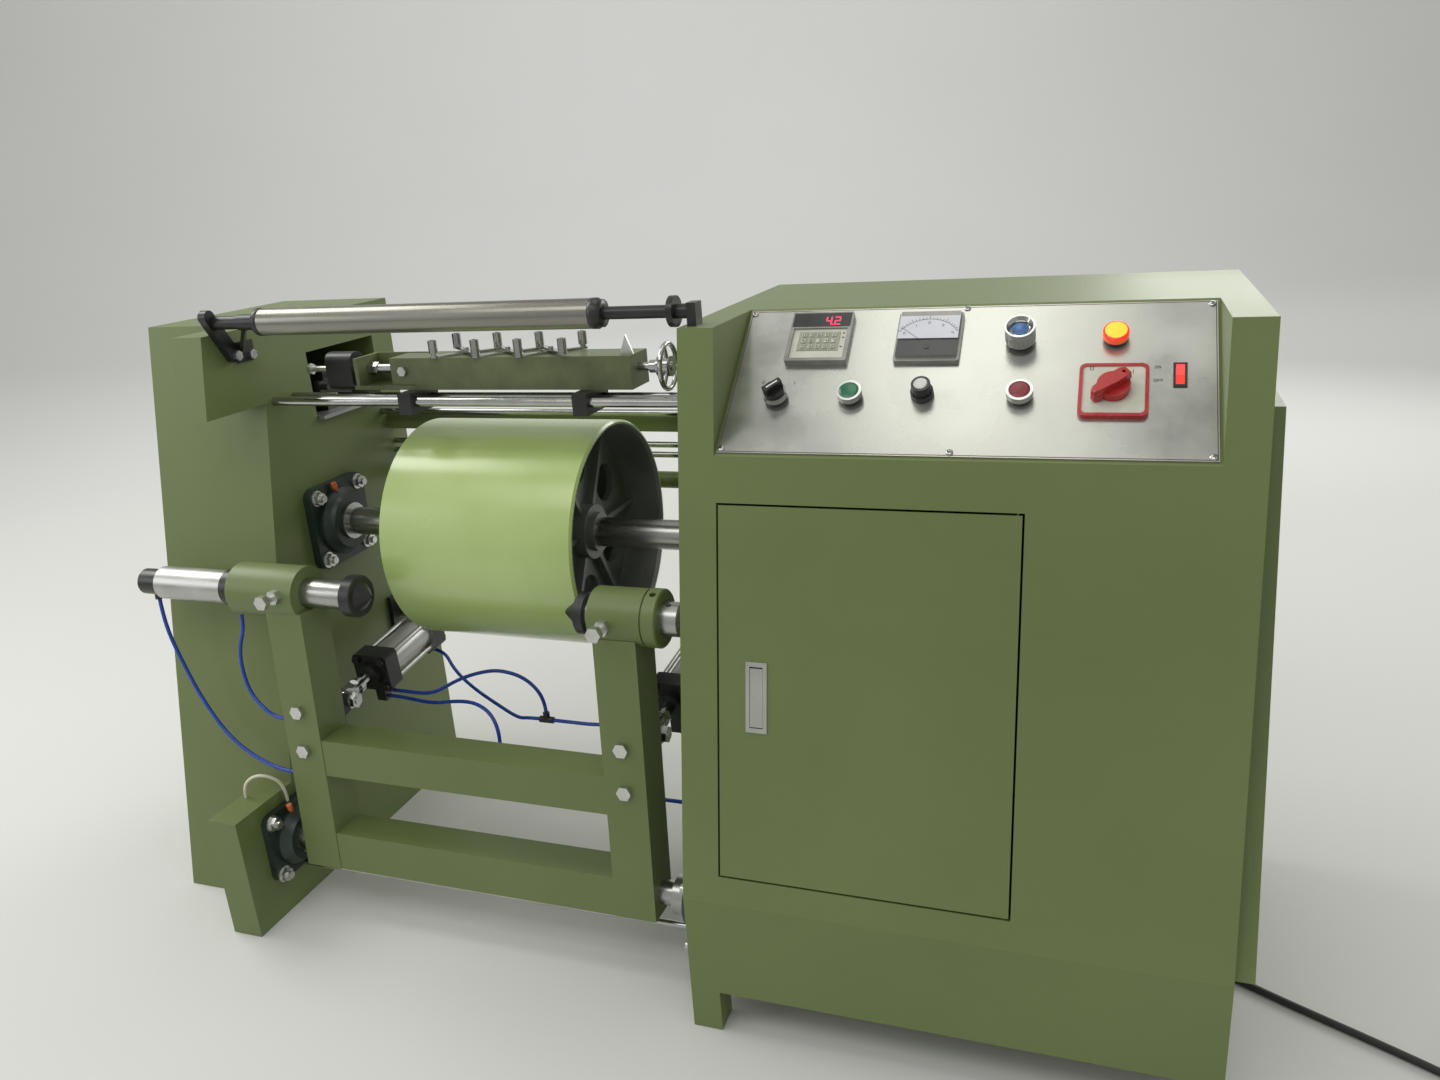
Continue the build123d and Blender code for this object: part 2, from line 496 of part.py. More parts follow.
def cylinder(x):
    c = rounded(x, cap_w, 7, -cap0, -cap0 + cap_t) + rounded(x, cap_w, 7, -cap1 - cap_t, -cap1)
    c += cy(x, 0, 27, -cap0 + cap_t, -cap1 - cap_t)
    c += cy(x, 0, 20, -cap0 - 12, -cap0)
    for sx in (-1, 1):
        for sz in (-1, 1):
            c += cy(x + sx * 23.25, sz * 23.25, 4.0, -cap0 + cap_t - 1, -cap1 - cap_t + 1)
            c += cy(x + sx * 23.25, sz * 23.25, 6.5, -cap0 - 6, -cap0)
            c += cy(x + sx * 23.25, sz * 23.25, 6.5, -cap1, -cap1 + 5)
    eye = bx(x - 12, x + 12, -cap1, 0, -12, 12) + cx(0, 0, 12, x - 12, x + 12)
    c += eye
    c -= cx(0, 0, 6 + gap, x - 20, x + 20)
    c -= cy(x, 0, 10 + gap, -cap0 - 20, -cap1 - 16)
    for yy, low in ((-cap0 + cap_t / 2, 26), (-cap1 - cap_t / 2, 13)):
        c += cz(x, yy, 6, -cap_w / 2 - 3, -cap_w / 2)
        c += bx(x - 9, x + 9, yy - 8, yy + 8, -cap_w / 2 - low, -cap_w / 2 - 3)
    return c


def rod(x):
    r = cy(x, 0, 10, -cyl_len + 17, -cap1 - 20 - stroke - 6)
    r += cx(-cyl_len, 0, 16, x - 9, x + 9) + bx(x - 9, x + 9, -cyl_len, -cyl_len + 30, -10, 10)
    r += cy(x, 0, 14, -cyl_len + 30, -cyl_len + 40)
    r -= cx(-cyl_len, 0, 9.0, x - 20, x + 20)
    return r


cyl_x = ((ux0 + ux1) / 2, (vx0 + vx1) / 2)
for side_n, x in zip(("left", "right"), cyl_x):
    parts[side_n + "_cylinder"] = CYL * cylinder(x)
    parts[side_n + "_rod"] = CYL * rod(x)

mounts = Part()
for x, wall in ((cyl_x[0], XL), (cyl_x[1], 0.0)):
    for side_x in (-1, 1):
        xa, xb = sorted((x + side_x * (12 + gap), x + side_x * 22))
        mounts += bx(xa, xb, rear_pin_y - 16, rear_pin_y + 40, rear_pin_z - 18, rear_pin_z + 18)
    mounts += cx(rear_pin_y, rear_pin_z, 6, x - 24, x + 24)
    xa, xb = sorted((x + math.copysign(22, wall - x) * -1, wall))
    mounts += bx(xa, xb, rear_pin_y + 28, rear_pin_y + 40, rear_pin_z - 18, rear_pin_z + 18)
    xa, xb = sorted((wall, wall + math.copysign(8, x - wall)))
    mounts += bx(xa, xb, rear_pin_y - 16, rear_pin_y + 60, rear_pin_z - 40, rear_pin_z + 40)
parts["cylinder_mounts"] = mounts

# guide roll
ex0, ex1 = XL + 88, -111.0
parts["guide_roll"] = turned(
    [(ex0, 8 + gap), (ex0, 17), (ex0 + 2, roll_r), (ex1 - 2, roll_r), (ex1, 17), (ex1 + 5, 17),
     (ex1 + 5, 8 + gap)], roll_y, roll_z)
rb = cx(roll_y, roll_z, 8, XL, -14) + cx(roll_y, roll_z, roll_r, -16, -8)
rb += cx(roll_y, roll_z, 9, -8, 12) + bx(8, 20, roll_y - 11, roll_y + 11, top_z, roll_z + 11)
rb += cx(roll_y, roll_z, 9.5, XL + 12, ex0 - gap) + cx(roll_y, roll_z, 11, ex0 - 34, ex0 - gap)


def arm(y0, z0, y1, z1, x0, x1, r):
    # a flat bar with rounded ends between two points (y, z)
    dy, dz = y1 - y0, z1 - z0
    n = math.hypot(dy, dz)
    py, pz = -dz / n * r, dy / n * r
    b = slab([(y0 + py, z0 + pz), (y1 + py, z1 + pz), (y1 - py, z1 - pz), (y0 - py, z0 - pz)], x0, x1)
    return b + cx(y0, z0, r, x0, x1) + cx(y1, z1, r, x0, x1)


rb += arm(roll_y - 10, roll_z + 9, roll_y + 26, top_z - 34, XL, XL + 12, 10)
rb += Pos(XL + 12, roll_y + 26, top_z - 34) * Rot(0, 90, 0) * hexagon(13, 6)
brace_a, brace_b = Vector(ex0 - 27, roll_y, roll_z - 6), Vector(XL, roll_y + 52, top_z - 32)
brace_l = (brace_b - brace_a).length
brace = Plane(origin=brace_a, x_dir=(0, 0.6, 0.8), z_dir=brace_b - brace_a) * Box(
    16, 5, brace_l + 8, align=(Align.CENTER, Align.CENTER, Align.MIN))
rb += brace & bx(XL, 0, 0, 400, 700, 1000)
rb += bx(XL, XL + 4, roll_y + 38, roll_y + 72, top_z - 47, top_z - 17)
rb += Pos(XL + 4, roll_y + 64, top_z - 38) * Rot(0, 90, 0) * hexagon(13, 6)
parts["roll_bracket"] = rb

# reed carriage
bx0, bx1 = XL + beam_l, -beam_r
beam = bx(bx0, bx1, beam_y0, beam_y1, beam_z0, beam_z1)
beam -= bx(bx0 - 1, bx1 - 4, beam_y0 + 4, beam_y1 - 4, beam_z0 + 4, beam_z1 - 4)
open_l = 108.0                    # open left end with the screw
beam -= bx(bx0 - 1, bx0 + open_l, beam_y0 - 1, beam_y1 - 4, beam_z0 + 6, beam_z1 + 1)
screw_y, screw_z = beam_y1 - 30.0, beam_z1 - 20.0
beam += bx(bx0 + open_l, bx0 + open_l + 5, beam_y0, beam_y1, beam_z0, beam_z1)
beam += bx(bx0 + 4, bx0 + 10, beam_y0, beam_y1, beam_z0, beam_z1)
block_l = bx0 + 64                # bearing block of the screw
beam += bx(block_l, bx0 + open_l, beam_y0 + 6, beam_y1 - 4, beam_z0 + 6, beam_z1 - 1)
beam += Pos(block_l + 22, beam_y0 + 6, screw_z) * Rot(90, 0, 0) * hexagon(13, 6)
beam -= cx(screw_y, screw_z, 6 + gap, bx0 - 2, bx1 + 2)
lat_x = bx0 + 182                 # first crossing of the lattice
pitch, half_y = 69.7, 32.5
lat_y = (beam_y0 + beam_y1) / 2 + 2
zl, zu, lt = beam_z1 + gap, beam_z1 + 2 * gap + 3, 3.0
beam += cz(lat_x, lat_y, 4.0, beam_z1, zu + lt + 3)
fin = make_face(Polyline((bx1 - 20, beam_z1), (bx1 - 10, beam_z1 + 27), (bx1, beam_z1), close=True))
beam += Pos(0, beam_y0 + 16, 0) * extrude(Plane.XZ * fin, 4)
parts["reed_beam"] = beam
blocks = Part()
for xa, xb in ((bx0 + 94, bx0 + 116), (bx1 - 80, bx1 - 58)):
    blocks += bx(xa, xb, rod_y - 13, rod2_y + 16, rod_z - 17, beam_z0)
blocks -= cx(rod_y, rod_z, rod_r + gap, XL, 0) + cx(rod2_y, rod_z, rod2_r + gap, XL, 0)
# coupling block at the left end, with its draw rod towards the drive
hub_x0, hub_x1 = bx0 - 58, bx0 - 12
blocks += fillet(bx(hub_x0, hub_x1, screw_y - 17, screw_y + 17, screw_z - 32, screw_z + 26).edges()
                 .filter_by(Axis.X), 14)
blocks += cx(screw_y, screw_z, 10, hub_x1, bx0 + 4)
blocks -= cx(screw_y, screw_z, 6 + gap, hub_x1 + 6, bx0 + 5)
blocks += cx(screw_y, screw_z, 4.5, hub_x0 - 46, hub_x0 + 2)
for xn in (hub_x0 - 44, hub_x0 - 7):
    blocks += Pos(xn, screw_y, screw_z) * Rot(0, 90, 0) * hexagon(15, 6)
parts["slide_blocks"] = blocks
wheel_x = -85.0
hw = cx(screw_y, screw_z, 6, hub_x1 + 8, wheel_x + 8) + cx(screw_y, screw_z, 9, wheel_x - 26, wheel_x - 12)
hw += cx(screw_y, screw_z, 7, bx0 + 26, block_l - gap)
hw += cx(screw_y, screw_z, 14, wheel_x - 14, wheel_x + 6)
rim_r = screw_z - rod_z - rod2_r - 5.0
ring = Pos(wheel_x, screw_y, screw_z) * Rot(0, 90, 0) * Torus(rim_r, 3.6)
hw += ring
for k in range(3):
    spoke = Pos(wheel_x, screw_y, screw_z) * Rot(120 * k + 20, 0, 0) * cz(0, 0, 3.2, 8, rim_r)
    hw += spoke
for xs in (bx0 + 10.5, bx0 + 19.5):
    hw += Pos(xs, screw_y, screw_z) * Rot(0, 90, 0) * hexagon(17, 8)
parts["handwheel"] = hw

# lazy-tongs lattice on the beam: A links low, B links high, both ends 16 wide
half_x = pitch / 2
link_l = math.hypot(half_x, half_y)
alpha = math.degrees(math.atan2(half_y, half_x))


def link(z, pins, holes_at, centre):
    b = bx(-link_l, link_l, -4.5, 4.5, z, z + lt)
    for e in (-1, 1):
        b += cz(e * link_l, 0, 6.5, z, z + lt)
    for e in pins:
        b += cz(e * link_l, 0, 4.2, z + lt, zu + lt + 2)
        b += cz(e * link_l, 0, 6.4, zu + lt + gap, zu + lt + 19) - cz(e * link_l, 0, 3.6, zu + lt + 9, 2000)
    for e in holes_at:
        b -= cz(e * link_l, 0, 4.2 + gap, z - 1, z + lt + 1)
    if centre == "post":
        b -= cz(0, 0, 4.0 + gap, z - 1, z + lt + 1)
    if centre == "pin":
        b += cz(0, 0, 3.5, z + lt, zu + lt + 3)
    if centre == "eye":
        b -= cz(0, 0, 3.5 + 0.6, z - 1, z + lt + 1)
    return b


for k in range(3):
    at = Pos(lat_x + pitch * k, lat_y, 0)
    # A rises to the right, B falls to the right
    parts["reed_link_a%d" % (k + 1)] = at * Rot(0, 0, alpha) * link(
        zl, (-1, 1), (), "post" if k == 0 else "pin")
    parts["reed_link_b%d" % (k + 1)] = at * Rot(0, 0, -alpha) * link(
        zu, (-1,) if k == 0 else ((1,) if k == 2 else ()),
        (1,) if k == 0 else ((-1,) if k == 2 else (-1, 1)), "post" if k == 0 else "eye")

# air hoses and cable
hose_r = 3.0


def swing_pt(x, d, s):
    return (SWING * Pos(x, d, s)).position


# both clamp hoses ride on the swinging frame and end at the outer face of its left upright
pts = [(sl0 - 172, 0, arm_s - 28), (sl0 - 172, 0, arm_s - 70), (XL - 163, 2, 282),
       (XL - 135, 1.6, 217), (XL - 91, -1.3, 158), (XL - 36, -6.7, 129), (ux0 - 33, -12, 117),
       (ux0, -12, 117)]
parts["clamp_hose_a"] = tubing([swing_pt(*p) for p in pts], hose_r)
pts = [(sl0 - 14, 0, arm_s - 36), (sl0 - 14, 0, arm_s - 64), (sl0 - 32, 3, arm_s - 99),
       (sl0 - 37, 4, arm_s - 130), (sl0 - 26, 0, arm_s - 174), (ux0 - 53, -7, 213),
       (ux0 - 24, -10, 207), (ux0, -10, 207)]
parts["clamp_hose_b"] = tubing([swing_pt(*p) for p in pts], hose_r)


def cyl_pt(x, y, z):
    return (CYL * Pos(x, y, z)).position


port_x = cyl_x[0] + 9
front_port = cyl_pt(port_x, -cap0 + cap_t / 2, -cap_w / 2 - 8)
low_port = cyl_pt(port_x, -cap0 + cap_t / 2, -cap_w / 2 - 20)
rear_port = cyl_pt(port_x, -cap1 - cap_t / 2, -cap_w / 2 - 8)
far_port = cyl_pt(cyl_x[1] - 9, -cap0 + cap_t / 2, -cap_w / 2 - 8)
tee_x, tee_y, tee_z = XL + 380, 300.0, 266.0
tee = cx(tee_y, tee_z, 5.5, tee_x - 12, tee_x + 12) + cz(tee_x, tee_y, 5.5, tee_z, tee_z + 13)
parts["hose_tee"] = tee


def step(p, dx):
    return (p.X + dx, p.Y, p.Z)


def off(p, dx, dy, dz):
    # a point of a route, counted from the fitting where the hose starts or ends
    return (p.X + dx, p.Y + dy, p.Z + dz)


parts["front_port_hose"] = tubing([
    tuple(front_port), step(front_port, 32), off(front_port, 94, -7.6, 3.3),
    off(front_port, 144, -2.6, 33.3), off(front_port, 187, 2.4, 48.3),
    off(front_port, 221, 7.4, 52.3), off(front_port, 259, 16.4, 37.3), (tee_x, tee_y, tee_z + 40),
    (tee_x, tee_y, tee_z + 13)], hose_r)
parts["rear_port_hose"] = tubing([
    tuple(rear_port), step(rear_port, 26), off(rear_port, 55, -18.6, -28.8),
    off(rear_port, 103, -38.6, -49.8), off(rear_port, 178, -78.6, -56.8),
    off(rear_port, 229, -108.6, -56.8), (tee_x - 33, tee_y, tee_z),
    (tee_x - 12, tee_y, tee_z)], hose_r)
parts["tee_hose"] = tubing([
    (tee_x + 12, tee_y, tee_z), (tee_x + 40, tee_y, tee_z), (tee_x + 87, tee_y - 9, tee_z + 5),
    (tee_x + 145, tee_y - 15, tee_z + 15), step(far_port, -38), tuple(far_port)], hose_r)
wall_end = Vector(0.0, 210.0, 205.0)
parts["wall_hose"] = tubing([
    tuple(low_port), step(low_port, 30), off(low_port, 92, -11.8, 0.3),
    off(low_port, 152, -25.8, 18.3), off(low_port, 192, -35.8, 24.3),
    off(low_port, 225, -45.8, 14.3), off(low_port, 242, -56.8, -10.7),
    off(low_port, 245, -64.8, -39.7), off(low_port, 252, -68.8, -60.7),
    off(low_port, 270, -71.8, -78.7), off(wall_end, -325, 1, -2), off(wall_end, -240, 0, -2),
    off(wall_end, -150, 1, -1), off(wall_end, -70, 0, 0), tuple(wall_end)], hose_r)
cable = [(XL - 41, 70, foot_h), (XL - 41, 70, foot_h + 20), (XL - 27, 77, foot_h + 35),
         (XL - 8, 86, foot_h + 35), (XL + 6, piv_y, piv_z + 90), (XL + 6, piv_y, piv_z + 58.5)]
parts["sensor_cable"] = tubing(cable, 2.5)

# power cord
cord_r = 5.0
cdx, cdy = 0.8909, -0.4543        # heading of the cord across the floor
gland = (560.0, 326.9)


def along(t, z):
    return (gland[0] + cdx * t, gland[1] + cdy * t, z)


def side_step(t, n, z):
    p = along(t, z)
    return (p[0] - cdy * n, p[1] + cdx * n, z)


cord_pts = [along(0, base_z), along(0, 31), along(26, cord_r), side_step(92, 1.5, cord_r),
            side_step(200, -1.5, cord_r), side_step(318, 1.0, cord_r), side_step(412, 0, cord_r)]
parts["power_cord"] = tubing(cord_pts, cord_r)
cord_end = Vector(*cord_pts[-1])
last = (Vector(*cord_pts[-1]) - Vector(*cord_pts[-2])).normalized()
coil_r = 55.0
lead_l = 45.0
# the put-away length, wound in three layers of two turns
turn_r = coil_r + cord_r
tan_pt = cord_end + last * lead_l
coil_c = tan_pt + Vector(-last.Y, last.X, 0) * turn_r
coil_h = 6 * cord_r
ring_in, ring_out = coil_r - 2 * cord_r, coil_r + 2 * cord_r
prof = fillet(make_face(Polyline((ring_in, 0), (ring_out, 0), (ring_out, coil_h),
                                 (ring_in, coil_h), close=True)).vertices(), cord_r - 0.5)
coil = Pos(coil_c.X, coil_c.Y, 0) * revolve(Plane.XZ * prof, Axis.Z)
coil += Plane(origin=cord_end, z_dir=last) * Cylinder(cord_r - gap, lead_l + 2, align=(
    Align.CENTER, Align.CENTER, Align.MIN))
out_dir = Vector(-last.Y, last.X, 0)
out_pt = coil_c + last * turn_r
plug_z = coil_h - cord_r
tail0 = Vector(out_pt.X, out_pt.Y, plug_z)
coil += Plane(origin=tail0 - out_dir * 2, z_dir=out_dir) * Cylinder(
    cord_r - gap, lead_l + 2, align=(Align.CENTER, Align.CENTER, Align.MIN))
parts["power_coil"] = coil
plug_at = tail0 + out_dir * lead_l
pl = Plane(origin=plug_at, z_dir=out_dir)
plug = pl * revolve(make_face(Polyline((0, 0), (9, 0), (12, 14), (20, 22), (plug_z, 26),
                                       (plug_z, 62), (0, 62), close=True)), Axis.Y).rotate(
                                           Axis.X, 90)
for k in range(4):
    plug += pl * Rot(0, 0, 90 * k + 45) * cz(11, 0, 2.5, 62, 80)
parts["power_plug"] = plug

parts["cabinet_shell"] = shell

# export about the middle
box_all = Compound(children=[Compound(p.wrapped) for n, p in parts.items()
                             if not n.startswith("power_")]).bounding_box()
mid_x = (box_all.min.X + box_all.max.X) / 2
mid_y = (box_all.min.Y + box_all.max.Y) / 2
print("shift", round(-mid_x, 3), round(-mid_y, 3), "low", round(box_all.min.Z, 3))
for name, p in parts.items():
    export_step(Pos(-mid_x, -mid_y, 0) * p, "parts/" + name + ".step")
print(len(parts), "nodes", box_all)
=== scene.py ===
# %% [markdown]
# # A narrow-web warping machine
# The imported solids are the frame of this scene. This script only adds what shows: the camera, a plain
# studio, smooth hoses, and the paint, steel and plastic of each piece.

# %% Load the frame
import math
import bpy
import numpy as np
from mathutils import Matrix, Vector


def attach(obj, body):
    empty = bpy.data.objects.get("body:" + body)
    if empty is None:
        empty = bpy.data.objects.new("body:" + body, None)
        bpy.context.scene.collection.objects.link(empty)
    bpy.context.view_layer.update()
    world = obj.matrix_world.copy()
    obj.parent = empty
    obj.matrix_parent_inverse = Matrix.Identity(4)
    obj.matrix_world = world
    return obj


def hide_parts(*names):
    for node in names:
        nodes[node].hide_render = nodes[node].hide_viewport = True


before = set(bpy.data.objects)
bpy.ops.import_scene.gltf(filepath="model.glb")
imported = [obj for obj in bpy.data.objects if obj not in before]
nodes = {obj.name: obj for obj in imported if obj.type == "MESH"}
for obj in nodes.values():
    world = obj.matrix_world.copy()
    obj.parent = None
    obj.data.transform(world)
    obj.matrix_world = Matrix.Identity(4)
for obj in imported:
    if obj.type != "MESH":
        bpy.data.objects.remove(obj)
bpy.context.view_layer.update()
print("frame", len(nodes), "nodes")

# %% [markdown]
# ## Camera
# The photograph was taken by hand from about 1.1 m above the floor, turned 20 degrees to the left, 19
# degrees down and slightly tilted. The focal length is 27.6 mm on a 36 mm wide frame. Yaw and pitch give
# the direction of view; a level line to its right and the line above it are then rolled by the tilt.

# %% Camera
SHIFT = np.array([0.1365, -0.2885, 0.0])      # from the cabinet's inner front corner to the middle
CAMERA_AT = np.array([0.493, -1.101, 1.093])  # from the same corner
yaw, pitch, roll = (math.radians(a) for a in (20.30, 18.66, -4.06))
fwd = Vector((-math.sin(yaw) * math.cos(pitch), math.cos(yaw) * math.cos(pitch), -math.sin(pitch)))
sideways = Vector((math.cos(yaw), math.sin(yaw), 0))
above = sideways.cross(fwd)
right = math.cos(roll) * sideways + math.sin(roll) * above
up = -math.sin(roll) * sideways + math.cos(roll) * above
cam = bpy.data.cameras.new("camera")
cam.lens, cam.sensor_width, cam.clip_start, cam.clip_end = 27.56, 36.0, 0.05, 60.0
cam_ob = bpy.data.objects.new("camera", cam)
axes = Matrix((right, up, -fwd)).transposed().to_4x4()
cam_ob.matrix_world = Matrix.Translation((CAMERA_AT + SHIFT).tolist()) @ axes
scene = bpy.context.scene
scene.collection.objects.link(cam_ob)
scene.camera = cam_ob
scene.view_settings.view_transform = "Standard"

# %% [markdown]
# ## Helpers for finishes
# A finish is a small node tree: Texture Coordinate (Object) into Mapping into Noise, then a Color Ramp that
# drives colour and roughness, and a second, much finer noise that drives a Bump node. Object coordinates
# are in metres, so a noise scale of 6 gives clouds about 15 cm wide.


# %% Node helpers for finishes
def new_mat(name):
    """A new material, its links and its Principled BSDF node."""
    m = bpy.data.materials.new(name)
    m.use_nodes = True
    return m, m.node_tree.links, m.node_tree.nodes["Principled BSDF"]


def noise(m, scale, detail=3.0, rough=0.5, stretch=(1, 1, 1)):
    """Noise on Object coordinates, stretched along an axis where the finish has a grain."""
    new, link = m.node_tree.nodes.new, m.node_tree.links.new
    place, mapping, cloud = new("ShaderNodeTexCoord"), new("ShaderNodeMapping"), new("ShaderNodeTexNoise")
    mapping.inputs["Scale"].default_value = stretch
    cloud.inputs["Scale"].default_value = scale
    cloud.inputs["Detail"].default_value = detail
    cloud.inputs["Roughness"].default_value = rough
    link(place.outputs["Object"], mapping.inputs["Vector"])
    link(mapping.outputs["Vector"], cloud.inputs["Vector"])
    return cloud.outputs["Fac"]


def ramp(m, fac, stops):
    """Colour ramp between two stops, each (position, (r, g, b))."""
    r = m.node_tree.nodes.new("ShaderNodeValToRGB")
    for element, (position, colour) in zip(r.color_ramp.elements, stops):
        element.position, element.color = position, (*colour, 1)
    m.node_tree.links.new(fac, r.inputs["Fac"])
    return r.outputs["Color"]


def bump(m, bsdf, fac, strength, distance):
    """Relief on the surface: white stands out by the distance, in metres."""
    b = m.node_tree.nodes.new("ShaderNodeBump")
    b.inputs["Strength"].default_value, b.inputs["Distance"].default_value = strength, distance
    m.node_tree.links.new(fac, b.inputs["Height"])
    m.node_tree.links.new(b.outputs["Normal"], bsdf.inputs["Normal"])


RELIEF_HEIGHT = 0.0006                         # metres
COAT_ROUGHNESS = 0.25


def finish_mat(name, lo, hi, rough, metallic=0.0, scale=6.0, grain=(1, 1, 1), fine=400.0,
               relief=0.05, rough_var=0.08, coat=0.0):
    """A base finish: colour drifts between lo and hi, roughness varies with it, fine relief on top."""
    m, links, b = new_mat(name)
    wide = noise(m, scale, 4.0, 0.55, grain)
    links.new(ramp(m, wide, [(0.3, lo), (0.7, hi)]), b.inputs["Base Color"])
    rough_stops = [(0.25, (rough - rough_var,) * 3), (0.75, (rough + rough_var,) * 3)]
    links.new(ramp(m, wide, rough_stops), b.inputs["Roughness"])
    b.inputs["Metallic"].default_value = metallic
    b.inputs["Coat Weight"].default_value = coat
    b.inputs["Coat Roughness"].default_value = COAT_ROUGHNESS
    bump(m, b, noise(m, fine, 2.0, 0.5, grain), relief, RELIEF_HEIGHT)
    return m


hose_blue = finish_mat("hose_blue", (0.008, 0.045, 0.32), (0.012, 0.065, 0.40), 0.24, scale=30,
                       relief=0.02)
cream = finish_mat("cable_cream", (0.60, 0.57, 0.47), (0.70, 0.67, 0.56), 0.45, scale=40, relief=0.02)
rubber = finish_mat("cord_rubber", (0.012, 0.012, 0.012), (0.022, 0.022, 0.021), 0.55, scale=60)

# %% [markdown]
# ## Cords first
# A hose is one smooth curve, so each is a NURBS spline with a few control points, in metres in the frame,
# and a round bevel. Every air hose starts and ends in a fitting, and rides on the body that carries it.


# %% Air hoses and cable
def nurbs(name, pts, steps):
    """A spline of order 3 that begins and ends on its first and last control point."""
    cu = bpy.data.curves.new(name, "CURVE")
    cu.dimensions, cu.resolution_u = "3D", steps
    sp = cu.splines.new("NURBS")
    sp.points.add(len(pts) - 1)
    sp.points.foreach_set("co", np.c_[np.array(pts), np.ones(len(pts))].astype(np.float32).ravel())
    sp.order_u, sp.use_endpoint_u = 3, True
    ob = bpy.data.objects.new(name, cu)
    scene.collection.objects.link(ob)
    return ob


def cord_curve(name, pts, r, mat):
    """A round cord of radius r along the spline."""
    ob = nurbs(name, pts, 8)
    ob.data.bevel_depth, ob.data.bevel_resolution = r, 4
    ob.data.materials.append(mat)
    return ob


def path_length(pts):
    """Length of the centre line: a finer spline without a bevel, measured edge by edge."""
    probe = nurbs("probe", pts, 16)
    me = bpy.data.meshes.new_from_object(probe)
    co = np.empty(len(me.vertices) * 3)
    me.vertices.foreach_get("co", co)
    bpy.data.objects.remove(probe)
    bpy.data.meshes.remove(me)
    return float(np.linalg.norm(np.diff(co.reshape(-1, 3), axis=0), axis=1).sum())


HOSES = {
    "clamp_hose_a": [(-0.7695, -0.1633, 0.5100), (-0.7695, -0.1655, 0.4680), (-0.7515, -0.1667, 0.4055),
                     (-0.7235, -0.1705, 0.3406), (-0.6795, -0.1765, 0.2819), (-0.6245, -0.1834, 0.2532),
                     (-0.5685, -0.1894, 0.2415), (-0.5355, -0.1894, 0.2415)],
    "clamp_hose_b": [(-0.6115, -0.1637, 0.5020), (-0.6115, -0.1652, 0.4740), (-0.6295, -0.1640, 0.4389),
                     (-0.6345, -0.1646, 0.4079), (-0.6235, -0.1709, 0.3642), (-0.5885, -0.1793, 0.3371),
                     (-0.5595, -0.1827, 0.3312), (-0.5355, -0.1827, 0.3312)],
    "front_port_hose": [(-0.4955, -0.0059, 0.3007), (-0.4635, -0.0059, 0.3007), (-0.4015, -0.0135, 0.3040),
                        (-0.3515, -0.0085, 0.3340), (-0.3085, -0.0035, 0.3490), (-0.2745, 0.0015, 0.3530),
                        (-0.2365, 0.0105, 0.3380), (-0.2085, 0.0115, 0.3060), (-0.2085, 0.0115, 0.2790)],
    "rear_port_hose": [(-0.4955, 0.1301, 0.3138), (-0.4695, 0.1301, 0.3138), (-0.4405, 0.1115, 0.2850),
                       (-0.3925, 0.0915, 0.2640), (-0.3175, 0.0515, 0.2570), (-0.2665, 0.0215, 0.2570),
                       (-0.2415, 0.0115, 0.2660), (-0.2205, 0.0115, 0.2660)],
    "tee_hose": [(-0.1965, 0.0115, 0.2660), (-0.1685, 0.0115, 0.2660), (-0.1215, 0.0025, 0.2710),
                 (-0.0635, -0.0035, 0.2810), (-0.0185, -0.0059, 0.3007), (0.0195, -0.0059, 0.3007)],
    "wall_hose": [(-0.4955, -0.0047, 0.2887), (-0.4655, -0.0047, 0.2887), (-0.4035, -0.0165, 0.2890),
                  (-0.3435, -0.0305, 0.3070), (-0.3035, -0.0405, 0.3130), (-0.2705, -0.0505, 0.3030),
                  (-0.2535, -0.0615, 0.2780), (-0.2505, -0.0695, 0.2490), (-0.2435, -0.0735, 0.2280),
                  (-0.2255, -0.0765, 0.2100), (-0.1885, -0.0775, 0.2030), (-0.1035, -0.0785, 0.2030),
                  (-0.0135, -0.0775, 0.2040), (0.0665, -0.0785, 0.2050), (0.1365, -0.0785, 0.2050)],
    "sensor_cable": [(-0.6295, -0.2185, 0.2030), (-0.6295, -0.2185, 0.2230), (-0.6155, -0.2115, 0.2380),
                     (-0.5965, -0.2025, 0.2380), (-0.5825, -0.1835, 0.2140), (-0.5825, -0.1835, 0.1825)],
}
RIDES = {"clamp_hose_a": "swing", "clamp_hose_b": "swing", "front_port_hose": "push_left",
         "rear_port_hose": "push_left", "tee_hose": "push_left", "wall_hose": "base",
         "sensor_cable": "base"}
HOSE = (0.003, hose_blue, "hose_blue")         # radius, finish, slot
CABLE = (0.0025, cream, "cable_cream")
for name, pts in HOSES.items():
    r, mat, slot = CABLE if name == "sensor_cable" else HOSE
    ob = cord_curve(name + "_line", pts, r, mat)
    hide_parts(name)
    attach(ob, RIDES[name])
    round(path_length(pts), 4)
print("hoses", len(HOSES))

# %% [markdown]
# The power cord is one spline: straight down from the cabinet's floor, across the shop floor, then five
# and a quarter turns in three layers, and out to the plug. The place after t turns is
# middle + r(t) (sin 2 pi t along - cos 2 pi t side), at height h(t). The radius steps between the outer
# and the inner turn and the height steps up by one diameter at each change of layer; each step is blended
# over a fifth of a turn with 3 b^2 - 2 b^3.

